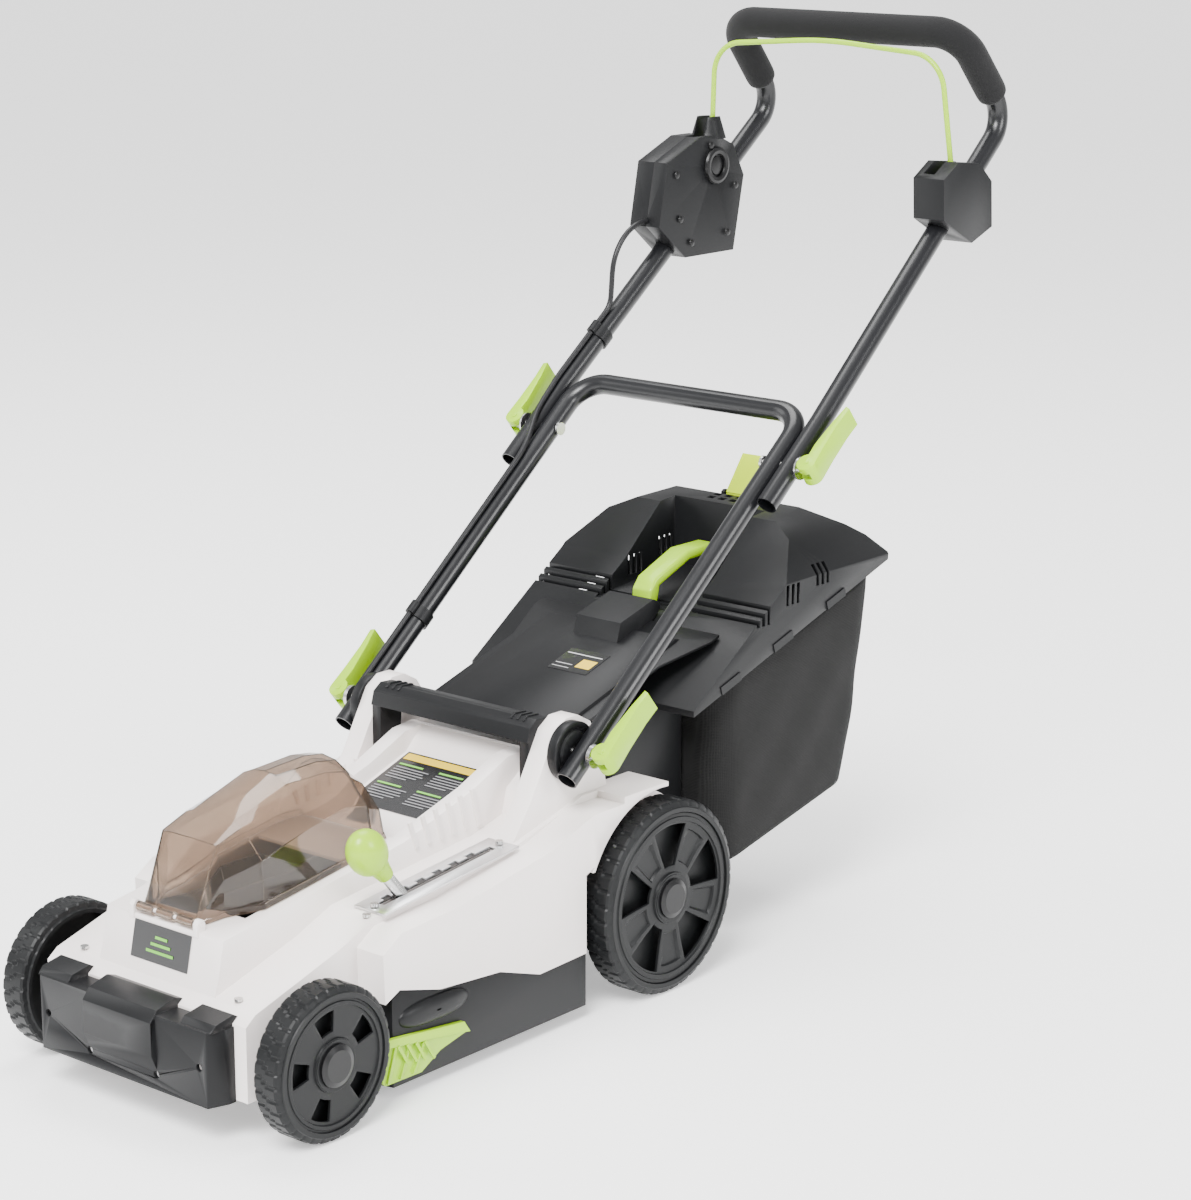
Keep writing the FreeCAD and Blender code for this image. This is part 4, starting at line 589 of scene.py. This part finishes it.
# %% Woven cloth
def woven_material():
    """Black plain weave: two crossed waves give the threads, and noise gives the fuzz."""
    material = bpy.data.materials.new("woven bag cloth")
    material.use_nodes = True
    tree = material.node_tree
    shader = next(node for node in tree.nodes if node.type == "BSDF_PRINCIPLED")
    place = tree.nodes.new("ShaderNodeTexCoord").outputs["Object"]
    threads = []
    for direction in ("Y", "Z"):
        wave = tree.nodes.new("ShaderNodeTexWave")
        wave.bands_direction = direction
        wave.inputs["Scale"].default_value = 190
        wave.inputs["Distortion"].default_value = 0.6
        tree.links.new(place, wave.inputs["Vector"])
        threads.append(wave.outputs["Fac"])
    crossed = tree.nodes.new("ShaderNodeMath")
    crossed.operation = "MAXIMUM"
    for i, thread in enumerate(threads):
        tree.links.new(thread, crossed.inputs[i])
    shade = tree.nodes.new("ShaderNodeMapRange")
    shade.inputs["To Min"].default_value = 0.004
    shade.inputs["To Max"].default_value = 0.014
    tree.links.new(crossed.outputs[0], shade.inputs["Value"])
    tree.links.new(shade.outputs["Result"], shader.inputs["Base Color"])
    bump = tree.nodes.new("ShaderNodeBump")
    bump.inputs["Distance"].default_value = 0.0003
    tree.links.new(crossed.outputs[0], bump.inputs["Height"])
    tree.links.new(bump.outputs["Normal"], shader.inputs["Normal"])
    shader.inputs["Roughness"].default_value = 0.85
    shader.inputs["Sheen Weight"].default_value = 0.04
    shader.inputs["Specular IOR Level"].default_value = 0.15
    return material


CLOTH = woven_material()
print("cloth:", CLOTH.name)


# %% [markdown]
# ## Shell of the bag
# An empty bag hangs nearly still, so its rest shape is written down instead of simulated: every level
# blends between the rim and the floor, and sines add the belly and the creases. The faces in front of
# the chute's mouth are left out, because the cut grass comes in there.

# %% Bag shell
def ring_shares(count, corner, width, length):
    """Points round a rounded rectangle as (x share -1..1, length share 0..1)."""
    corner_x, corner_y = corner / width, corner / length
    quarter = np.linspace(0, np.pi / 2, 7)
    spots = []
    for sx, sy, start in ((1, 1, 0), (-1, 1, 1), (-1, -1, 2), (1, -1, 3)):
        turn = quarter + start * np.pi / 2
        spots.append(np.stack([sx * (1 - corner_x) + corner_x * np.cos(turn),
                               sy * (1 - corner_y) + corner_y * np.sin(turn)], -1))
    loop = np.concatenate(spots)
    loop = np.concatenate([loop, loop[:1]])
    run = np.r_[0, np.cumsum(np.hypot(*np.diff(loop, axis=0).T))]
    at = np.linspace(0, run[-1], count, endpoint=False)
    return np.interp(at, run, loop[:, 0]), (np.interp(at, run, loop[:, 1]) + 1) / 2


LEVELS, AROUND = 44, 176
# The half width without its belly, the corners' radius, and the half width and length it is a share of.
BAG_HALF, BAG_CORNER, CORNER_OF = 144, 34, (148, 130)
level = np.linspace(0, 1, LEVELS)[:, None]
across, along_share = ring_shares(AROUND, BAG_CORNER, *CORNER_OF)
front_y, front_z = 601.5 + 3 * level, 279 + (89 - 279) * level
rear_y, rear_z = 883 + (836 - 883) * level, 361 + (138 - 361) * level
belly = np.sin(np.pi * level) ** 0.8
y = front_y + (rear_y - front_y) * along_share
z = front_z + (rear_z - front_z) * along_share
side_belly = 5.5 * belly * np.sin(np.pi * np.clip(along_share, 0, 1)) ** 0.6
long_wave = np.sin(2 * np.pi * (2.2 * along_share + 1.7 * level))
short_wave = np.sin(2 * np.pi * (4.6 * along_share - 3.1 * level))
crease_wave = long_wave + 0.5 * short_wave
x = across * (BAG_HALF + side_belly + 0.9 * crease_wave * belly)
rear_wave = 1.4 * belly * np.sin(9 * across + 6 * level)
rear_belly = np.clip(along_share * 2 - 1, 0, 1) ** 3 * (5 * belly + rear_wave)
y = y + rear_belly
shell_points = np.stack([x, y, z], -1).reshape(-1, 3)
side_faces = grid_faces(LEVELS, AROUND, False, True)
middle = shell_points[side_faces].mean(1)
mouth = (middle[:, 1] < 606) & (np.abs(middle[:, 0]) < 92) & (middle[:, 2] > 150)
rim_ring = shell_points[-AROUND:]
shrink = np.linspace(1, 0.02, 10)[1:, None, None]
floor_centre = rim_ring.mean(0)
floor_points = floor_centre + (rim_ring - floor_centre) * shrink
FLOOR_SAG = 2.0
sagging = floor_points[..., 1] > 640
floor_points[..., 2] -= FLOOR_SAG * np.sin(np.pi * np.minimum(1, 1 - shrink[..., 0])) * sagging
bag_points = np.concatenate([shell_points, floor_points.reshape(-1, 3)])
floor_faces = grid_faces(10, AROUND, False, True) + (LEVELS - 1) * AROUND
bag_faces = np.concatenate([side_faces[~mouth], floor_faces])
bag = make_piece("fabric_bag", to_frame(bag_points), bag_faces, "bag")
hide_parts("bag_fabric")
tidy(bag)
hem = bag.modifiers.new("cloth", "SOLIDIFY")
hem.thickness = 0.0015
hem.offset = -1
bag.data.materials.append(CLOTH)
print("bag faces:", len(bag.data.polygons), "lowest z", round(float(bag_points[:, 2].min()), 1), "mm")


# %% [markdown]
# ## A tube along a path
# The foam grip and the cable both follow the handle. A tube surface is a circle carried along a
# path: at each point two directions square to the path are turned so they twist as little as
# possible.

# %% Tube along a path
def rounded(points, radii, steps=14):
    """A polyline with circular arcs in its inner corners, as a bent tube's centreline."""
    points = [np.array(p, float) for p in points]
    line = [points[0]]
    for before, corner, after, radius in zip(points, points[1:], points[2:], radii):
        a, b = before - corner, after - corner
        a, b = a / np.linalg.norm(a), b / np.linalg.norm(b)
        half = math.acos(np.clip(a @ b, -1, 1)) / 2
        centre = corner + (a + b) / np.linalg.norm(a + b) * radius / math.sin(half)
        start, stop = corner + a * radius / math.tan(half), corner + b * radius / math.tan(half)
        u, v = start - centre, stop - centre
        whole = math.acos(np.clip(u @ v / radius ** 2, -1, 1))
        for share in np.linspace(0, 1, steps):
            swung = u * math.sin((1 - share) * whole) + v * math.sin(share * whole)
            line.append(swung / math.sin(whole) + centre)
    line.append(points[-1])
    return np.array(line)


def even(line, spacing):
    """The same line with points evenly spaced along it."""
    run = np.r_[0, np.cumsum(np.linalg.norm(np.diff(line, axis=0), axis=1))]
    at = np.linspace(0, run[-1], max(3, int(run[-1] / spacing)))
    return np.stack([np.interp(at, run, line[:, k]) for k in range(3)], -1)


def tube_points(line, radius, around):
    """Rings of radius r about a line: p + r (n cos a + b sin a), with n carried along by projection."""
    tangent = np.gradient(line, axis=0)
    tangent /= np.linalg.norm(tangent, axis=1)[:, None]
    normal = np.cross(tangent[0], [0.3, 0.5, 0.81])
    rings = []
    radius = np.broadcast_to(radius, len(line))
    for point, way, r in zip(line, tangent, radius):
        normal = normal - way * (normal @ way)
        normal = normal / np.linalg.norm(normal)
        other = np.cross(way, normal)
        turn = np.linspace(0, 2 * np.pi, around, endpoint=False)[:, None]
        rings.append(point + r * (normal * np.cos(turn) + other * np.sin(turn)))
    return np.array(rings)


# %% [markdown]
# ## Foam grip
# A soft sleeve is pushed over the top bar and both bends. It is rounded at its ends and slightly
# uneven, as stretched foam is, so its radius varies along the line.

# %% Foam grip
# Length down each side, outer radius, radius of the hole, and the points round each ring.
SLEEVE_SIDE, SLEEVE_RADIUS, SLEEVE_BORE, SLEEVE_AROUND = 94, 16.9, 11.2, 40
# Drop of the radius at the ends, how sharply it drops, and the size of the random unevenness.
END_DROP, END_SHARPNESS, UNEVEN = 3.2, 160, 0.25
GRIP_CORNER = np.array([154.0, 996.0, 925.0])
kink = np.array([158, 1080.5, 829.5])
grip_start = GRIP_CORNER + (kink - GRIP_CORNER) / np.linalg.norm(kink - GRIP_CORNER) * SLEEVE_SIDE
mirror = np.array([-1, 1, 1])
grip_line = even(rounded([grip_start, GRIP_CORNER, GRIP_CORNER * mirror, grip_start * mirror], [34, 34]), 3)
share = np.linspace(0, 1, len(grip_line))
end_round = SLEEVE_RADIUS - END_DROP * (np.exp(-share * END_SHARPNESS) + np.exp(-(1 - share) * END_SHARPNESS))
rng = np.random.default_rng(4)
end_round = end_round - UNEVEN * np.convolve(rng.random(len(share)), np.ones(9) / 9, "same")
outside = tube_points(grip_line, end_round, SLEEVE_AROUND)
inside = tube_points(grip_line, SLEEVE_BORE, SLEEVE_AROUND)[::-1]
foam_rings = np.concatenate([outside, inside])
foam = make_piece("foam_sleeve", to_frame(foam_rings.reshape(-1, 3)),
                  grid_faces(len(foam_rings), SLEEVE_AROUND, True, True), "upper_handle")
tidy(foam)
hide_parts("foam_grip")
foam.data.materials.append(FOAM)
foam_length = float(np.linalg.norm(np.diff(grip_line, axis=0), axis=1).sum())
print("foam along its middle:", round(foam_length, 1), "mm")


# %% [markdown]
# ## Control cable
# One black cable runs up the right-hand tubes in two clips and goes round the upper joint. When the
# upper handle folds it must bend there, so one tube is blended between the two handles' bodies.

# %% Cable
RAKE = math.radians(38.9)
ALONG = np.array([0, math.cos(RAKE), math.sin(RAKE)])
ABOVE = np.array([0, -math.sin(RAKE), math.cos(RAKE)])
FOLD, JOINT = np.array([0, 383.0, 266.5]), np.array([0, 681.0, 507.0])
CABLE_LIFT = 14.5
CABLE_RADIUS, CABLE_AROUND = 3.0, 14


def beside(spot, reach, x, lift=CABLE_LIFT):
    """A point beside a pivot: so far along the handle, at x, lifted off the tube."""
    return spot + ALONG * reach + ABOVE * lift + np.array([x, 0, 0])


upper_line = beside(JOINT, 60, -173.5)
upper_aim = np.array([-158, kink[1], kink[2]]) + ABOVE * CABLE_LIFT
toward = (upper_aim - upper_line) / np.linalg.norm(upper_aim - upper_line)
cable_route = [beside(FOLD, 0, -140.8), beside(FOLD, 0, -151), beside(FOLD, 340, -151),
               beside(JOINT, 10, -170), upper_line, upper_line + toward * 108, (-166, 806, 712),
               (-166, 872, 712)]
cable_line = even(rounded(cable_route, [9.5, 120, 120, 150, 24, 55]), 2.5)
cable_rings = tube_points(cable_line, CABLE_RADIUS, CABLE_AROUND)
cable = make_piece("control_cable", to_frame(cable_rings.reshape(-1, 3)),
                   grid_faces(len(cable_line), CABLE_AROUND, False, True), "lower_handle")
work_world = cable.matrix_world.copy()
cable.parent = None
cable.matrix_world = work_world
tidy(cable)
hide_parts("lower_cable", "upper_cable")
bend_low, bend_high = to_frame([beside(JOINT, -12, -165), beside(JOINT, 40, -165)])
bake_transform(cable, "lower_handle", "upper_handle", bend_low, bend_high)
cable.data.materials.append(JACKET)
print("cable length:", round(float(np.linalg.norm(np.diff(cable_line, axis=0), axis=1).sum()), 1), "mm")


# %% [markdown]
# ## Ribs, screws and small relief
# Small relief that carries no load is cheaper to add here than to cut into the CAD solids: vent ribs
# on the battery housing, slanted ribs on the combs, screw heads on the switch box and rim clips.

# %% Small solid helpers
def bar(name, start, stop, wide, tall, body, material, up=(0, 0, 1), edge=0.0004):
    """A straight bar between two points with a bevelled edge: eight corners and six faces."""
    start, stop = np.array(start, float), np.array(stop, float)
    way = (stop - start) / np.linalg.norm(stop - start)
    side = np.cross(way, up)
    side /= np.linalg.norm(side)
    rise = np.cross(side, way)
    corners = [end + side * a * wide / 2 + rise * b * tall / 2
               for end in (start, stop) for a, b in ((-1, -1), (1, -1), (1, 1), (-1, 1))]
    faces = [(0, 1, 2, 3), (4, 5, 6, 7), (0, 1, 5, 4), (1, 2, 6, 5), (2, 3, 7, 6), (3, 0, 4, 7)]
    piece = tidy(make_piece(name, to_frame(corners), faces, body, smooth=False))
    rounding = piece.modifiers.new("edge", "BEVEL")
    rounding.width = edge
    rounding.segments = 2
    piece.data.materials.append(material)
    return piece


def dome(name, centre, radius, tall, way, body, material, rows=6, around=20):
    """A shallow dome: radius * cos(t) wide and tall * sin(t) high along a direction."""
    way = np.array(way, float) / np.linalg.norm(way)
    one = np.cross(way, [0.31, 0.52, 0.8])
    one /= np.linalg.norm(one)
    two = np.cross(way, one)
    tilt = np.linspace(0, np.pi / 2 - 0.02, rows)[:, None, None]
    turn = np.linspace(0, 2 * np.pi, around, endpoint=False)[None, :, None]
    flat = radius * np.cos(tilt) * (one * np.cos(turn) + two * np.sin(turn))
    points = np.array(centre) + flat + way * tall * np.sin(tilt)
    piece = make_piece(name, to_frame(points.reshape(-1, 3)), grid_faces(rows, around, False, True), body)
    tidy(piece)
    piece.data.materials.append(material)
    return piece


def joined(name, parts):
    """One object from several that share a body and a material."""
    vertices, faces = [], []
    for part in parts:
        start = len(vertices)
        vertices += [tuple(v.co) for v in part.data.vertices]
        faces += [tuple(start + i for i in polygon.vertices) for polygon in part.data.polygons]
    body = body_of(parts[0])[0]
    material = parts[0].data.materials[0]
    smooth = parts[0].data.polygons[0].use_smooth
    for part in parts:
        mesh = part.data
        bpy.data.objects.remove(part)
        bpy.data.meshes.remove(mesh)
    mesh = bpy.data.meshes.new(name)
    mesh.from_pydata(vertices, [], faces)
    mesh.polygons.foreach_set("use_smooth", [smooth] * len(faces))
    mesh.materials.append(material)
    piece = bpy.data.objects.new(name, mesh)
    bpy.context.scene.collection.objects.link(piece)
    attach(piece, body)
    return piece


# %% [markdown]
# ## Printed labels
# The mower carries printed films: an information label with headings and small type, a rating label on
# the flap and a badge in front. The type is only plain bars here, a fraction of a millimetre above the
# film, so that it reads as print from a distance and says nothing.

# %% Printed labels
INFO_LOW, INFO_HIGH = np.array([0, 264.8, 206.6]), np.array([0, 351.8, 236.0])
slope = (INFO_HIGH - INFO_LOW) / np.linalg.norm(INFO_HIGH - INFO_LOW)
lift = np.cross([1, 0, 0], slope)


def print_bar(name, x, reach, wide, long, material):
    """A thin printed patch on the information label, lifted a tenth of a millimetre off the film."""
    centre = INFO_LOW + slope * reach + lift * 0.1
    start = centre + np.array([x - wide / 2, 0, 0])
    stop = centre + np.array([x + wide / 2, 0, 0])
    return bar(name, start, stop, long, 0.15, "deck", material, lift, 0.00002)


prints = [print_bar("label_strip", 0, 84, 104, 10, PRINT_YELLOW)]
heads, lines = [], []
for x in (-27, 27):
    for reach in (34, 68):
        heads.append(print_bar("heading", x - 6, reach + 3, 32, 2.4, PRINT_GREEN))
        for k in range(5):
            wide = (44, 40, 43, 38, 28)[k]
            lines.append(print_bar("line", x - (44 - wide) / 2, reach - 2.5 - 4.2 * k, wide, 1.3, PRINT_GREY))
joined("label_headings", heads)
joined("label_lines", lines)
rating_low, rating_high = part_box("rating_label")
rating_y = [(rating_low[1] - AXLE_Y) * 1000, (rating_high[1] - AXLE_Y) * 1000]
rating_z = [rating_low[2] * 1000, rating_high[2] * 1000]


def on_rating(share):
    """The y and z of a point on the rating label, by its share of the way from the low to the high corner."""
    return (rating_y[0] + (rating_y[1] - rating_y[0]) * share,
            rating_z[0] + (rating_z[1] - rating_z[0]) * share)


PRINT_LIFT = 0.35
rating_marks = []
for share, low, high in ((0.78, -8, 38), (0.30, -8, 14), (0.15, -8, 14)):
    y, z = on_rating(share)
    start, stop = (low, y, z + PRINT_LIFT), (high, y, z + PRINT_LIFT)
    rating_marks.append(bar("rating_line", start, stop, 2.2, 0.2, "flap", PRINT_WHITE, edge=0.00002))
joined("rating_lines", rating_marks)
y, z = on_rating(0.42)
bar("rating_block", (19, y, z + PRINT_LIFT), (38, y, z + PRINT_LIFT), 16, 0.2, "flap", PRINT_YELLOW,
    (0, -0.3, 1), 0.00002)

badge_mark = []
for k in range(3):
    height = 144 + 6.5 * k
    badge_mark.append(bar("stripe", (-18 + 5 * k, -39.9 + 0.218 * (height - 134), height),
                          (18 - 5 * k, -39.9 + 0.218 * (height - 134), height), 2.6, 0.3, "deck", PRINT_GREEN,
                          (0, -1, 0.2), 0.00005))
joined("badge_stripes", badge_mark)
print("print marks:", len(prints) + len(heads) + len(lines) + len(rating_marks) + 1 + len(badge_mark))


# %% [markdown]
# ## Vent ribs
# Six slanted ribs stand on each side of the battery housing. They could be cut with the CAD solid, but
# they carry nothing, so each is one bevelled bar and all of them become one piece.

# %% Vent ribs on the battery housing
ribs = []
for x in (1, -1):
    for k in range(6):
        y = 212 + 17.5 * k
        ribs.append(bar("rib", (x * 78.6, y, 224 + 2.4 * k), (x * 78.6, y + 9, 197), 4.2, 3.0, "deck", WHITE,
                        (1, 0, 0), 0.0008))
joined("vent_ribs", ribs)
print("vent ribs:", len(ribs))


# %% [markdown]
# ## Slot inserts
# Two dark strips lie beside the slot in the height plate. They follow the slope of the deck, so two
# thin bars with slightly broken edges are enough.

# %% Dark inserts beside the height plate's slot
for x, wide in ((115.2, 7.2), (125.2, 2.2)):
    insert = bar("slot_insert", (x, 130, 173.9), (x, 280, 188.5), wide, 0.6, "deck", SATIN, edge=0.00005)
    print("insert at x", x, "mm:", insert.name)


# %% [markdown]
# ## Ribs on the edge combs
# The lime combs low on the deck's sides have raised ribs that stiffen them. Four slanted bars on each
# side are enough, because only their edges catch the light.

# %% Slanted ribs on the edge combs
comb_ribs = []
for x in (1, -1):
    for k in range(4):
        y = 98 + 12 * k
        start, stop = (x * 169.6, y, 56 - 2 * k), (x * 169.6, y + 12, 36 - 2 * k)
        comb_ribs.append(bar("comb_rib", start, stop, 3.0, 1.6, "deck", LIME, (1, 0, 0), 0.0006))
joined("comb_ribs", comb_ribs)
print("comb ribs:", len(comb_ribs))


# %% [markdown]
# ## Swellings over the combs
# The black lower deck bulges outwards above each comb. A lofted patch would follow it more closely;
# half an ellipsoid on the wall gives a similar soft highlight from one small grid.

# %% Rounded swelling over the combs
SWELL_ROWS, SWELL_AROUND = 12, 56


def swelling(name, side):
    """Half an ellipsoid on the lower deck's wall: y and z follow an ellipse that shrinks as x grows."""
    tilt = np.linspace(0, np.pi / 2 - 0.02, SWELL_ROWS)[:, None]
    turn = np.linspace(0, 2 * np.pi, SWELL_AROUND, endpoint=False)[None, :]
    wide = np.abs(np.cos(turn)) ** 0.6 * np.sign(np.cos(turn))
    points = np.stack([side * (163.5 + 8.5 * np.sin(tilt) + 0 * turn), 151 + 47 * np.cos(tilt) ** 0.7 * wide,
                       77 + 12.5 * np.cos(tilt) ** 0.7 * np.sin(turn)], -1)
    faces = grid_faces(SWELL_ROWS, SWELL_AROUND, False, True)
    piece = tidy(make_piece(name, to_frame(points.reshape(-1, 3)), faces, "deck"))
    piece.data.materials.append(BLACK)
    return piece


for name, side in (("left_swelling", 1), ("right_swelling", -1)):
    print("swelling:", swelling(name, side).name)


# %% [markdown]
# ## Screws and ring on the switch box
# Screws hold the cover on the switch box, and a smooth raised ring surrounds the start button. A screw
# head is a shallow dome here, and the ring is a profile turned about the button's axis.

# %% Screws and ring on the switch box
box_low, box_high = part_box("switch_box_cover")
box_face = box_high[0] * 1000
screws = []
for y, z in ((947, 790), (886, 762), (992, 742), (893, 712), (913, 684), (978, 690)):
    screws.append(dome("screw", (box_face - 0.3, y, z), 4.2, 1.6, (1, 0, 0), "upper_handle", SATIN))
joined("switch_screws", screws)
button_low, button_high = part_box("start_button")
button_y = (button_low[1] + button_high[1]) / 2 - AXLE_Y
button_z = (button_low[2] + button_high[2]) / 2
# Depth and radius down the ring's section; the ring then sinks this far into the cover.
RING_SECTION = ((-0.4, 12.5), (-0.4, 21), (-2.6, 20), (-3.4, 17), (-2.6, 13.2))
RING_SINK = 0.6
ring_profile = [(depth + RING_SINK, r, 0, 0) for depth, r in RING_SECTION]
button_ring = turned("button_ring", ring_profile[::-1], 48, (box_face, button_y * 1000, button_z * 1000), 1,
                     "upper_handle")
button_ring.data.materials.append(SATIN)
print("screws:", len(screws), "ring faces:", len(button_ring.data.polygons))


# %% [markdown]
# ## Clips on the bag's rim
# The cloth hangs from the lid by short clips along both sides. Each is a thin bar that follows the
# slope of the rim, with three on each side.

# %% Rim clips on the bag's lid
# Rise of the rim to the rear.
LID_RISE = 0.307
clips = []
lid_low, lid_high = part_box("bag_lid")
for x in (1, -1):
    for y in (612, 700, 792):
        z = 285 + (y - 600) * LID_RISE
        start, stop = (x * 152.4, y - 16, z - 4.9), (x * 152.4, y + 16, z + 4.9)
        clips.append(bar("clip", start, stop, 9, 1.6, "bag", BLACK, (1, 0, 0), 0.0006))
joined("rim_clips", clips)
print("clips:", len(clips), "on a lid", round((lid_high[0] - lid_low[0]) * 1000), "mm wide")


# %% [markdown]
# ## Camera
# The camera stands ahead of the mower on its left side, a little above it. A long lens from three
# metres keeps the handle's tubes nearly parallel, as they are on the real mower.

# %% Camera
# Millimetres of lens and sensor, and metres to the far clipping plane.
LENS, SENSOR, FAR_END = 94.94, 36.0, 100
camera_data = bpy.data.cameras.new("camera")
camera_data.lens = LENS
camera_data.sensor_width = SENSOR
camera_data.clip_end = FAR_END
camera = bpy.data.objects.new("camera", camera_data)
bpy.context.scene.collection.objects.link(camera)
AZIMUTH, ELEVATION, DISTANCE = math.radians(40.35), math.radians(14.15), 3.05828
target = to_frame([146.22, 405.17, 415.72])
back = np.array([math.sin(AZIMUTH) * math.cos(ELEVATION), -math.cos(AZIMUTH) * math.cos(ELEVATION),
                 math.sin(ELEVATION)])
camera.location = target + back * DISTANCE
camera.rotation_euler = (math.pi / 2 - ELEVATION, 0, AZIMUTH)
bpy.context.scene.camera = camera
print("camera:", LENS, "mm at", DISTANCE, "m")


# %% [markdown]
# ## Lights and floor
# Black plastic shows its shape only through broad reflections, so four large square lights and one
# wide sun light the mower. A pale surround and a faintly glowing floor keep the shadows soft.

# %% Lights and floor
FLOOR_HALF, FLOOR_GLOW = 60.0, 0.5
SURROUND_STRENGTH = 0.8
SUN_STRENGTH, SUN_WIDTH = 3.2, math.radians(40)


def soft_box(name, place, aim, size, power, colour=(1, 1, 1)):
    """A square area light at a place, turned towards a point."""
    data = bpy.data.lights.new(name, "AREA")
    data.shape = "SQUARE"
    data.size = size
    data.energy = power
    data.color = colour
    lamp = bpy.data.objects.new(name, data)
    bpy.context.scene.collection.objects.link(lamp)
    lamp.location = place
    lamp.rotation_euler = (Vector(aim) - Vector(place)).to_track_quat("-Z", "Y").to_euler()
    return lamp


soft_box("key light", (1.2, -2.6, 3.4), (0, 0, 0.35), 1.6, 230)
soft_box("side light", (3.6, 0.6, 1.8), (0, 0, 0.35), 1.4, 95)
soft_box("top light", (-1.0, 1.0, 4.0), (0, 0, 0.3), 2.4, 150)
soft_box("left light", (-3.2, -1.6, 1.8), (0, 0, 0.35), 2.0, 45)
sun_data = bpy.data.lights.new("open light", "SUN")
sun_data.energy = SUN_STRENGTH
sun_data.angle = SUN_WIDTH
sun = bpy.data.objects.new("open light", sun_data)
sun.rotation_euler = (math.radians(38), math.radians(14), 0)
bpy.context.scene.collection.objects.link(sun)
world = bpy.data.worlds.new("surround")
bpy.context.scene.world = world
world.use_nodes = True
world.node_tree.nodes["Background"].inputs["Color"].default_value = (1, 1, 1, 1)
world.node_tree.nodes["Background"].inputs["Strength"].default_value = SURROUND_STRENGTH

FLOOR = bpy.data.materials.new("pale floor")
FLOOR.use_nodes = True
floor_shader = next(node for node in FLOOR.node_tree.nodes if node.type == "BSDF_PRINCIPLED")
floor_shader.inputs["Base Color"].default_value = (0.93, 0.93, 0.93, 1)
floor_shader.inputs["Roughness"].default_value = 0.9
floor_shader.inputs["Emission Color"].default_value = (1, 1, 1, 1)
floor_shader.inputs["Emission Strength"].default_value = FLOOR_GLOW
floor_corners = [(x * FLOOR_HALF, y * FLOOR_HALF, 0) for x, y in ((-1, -1), (1, -1), (1, 1), (-1, 1))]
floor = make_piece("floor", floor_corners, [(0, 1, 2, 3)], None, smooth=False)
floor.data.materials.append(FLOOR)
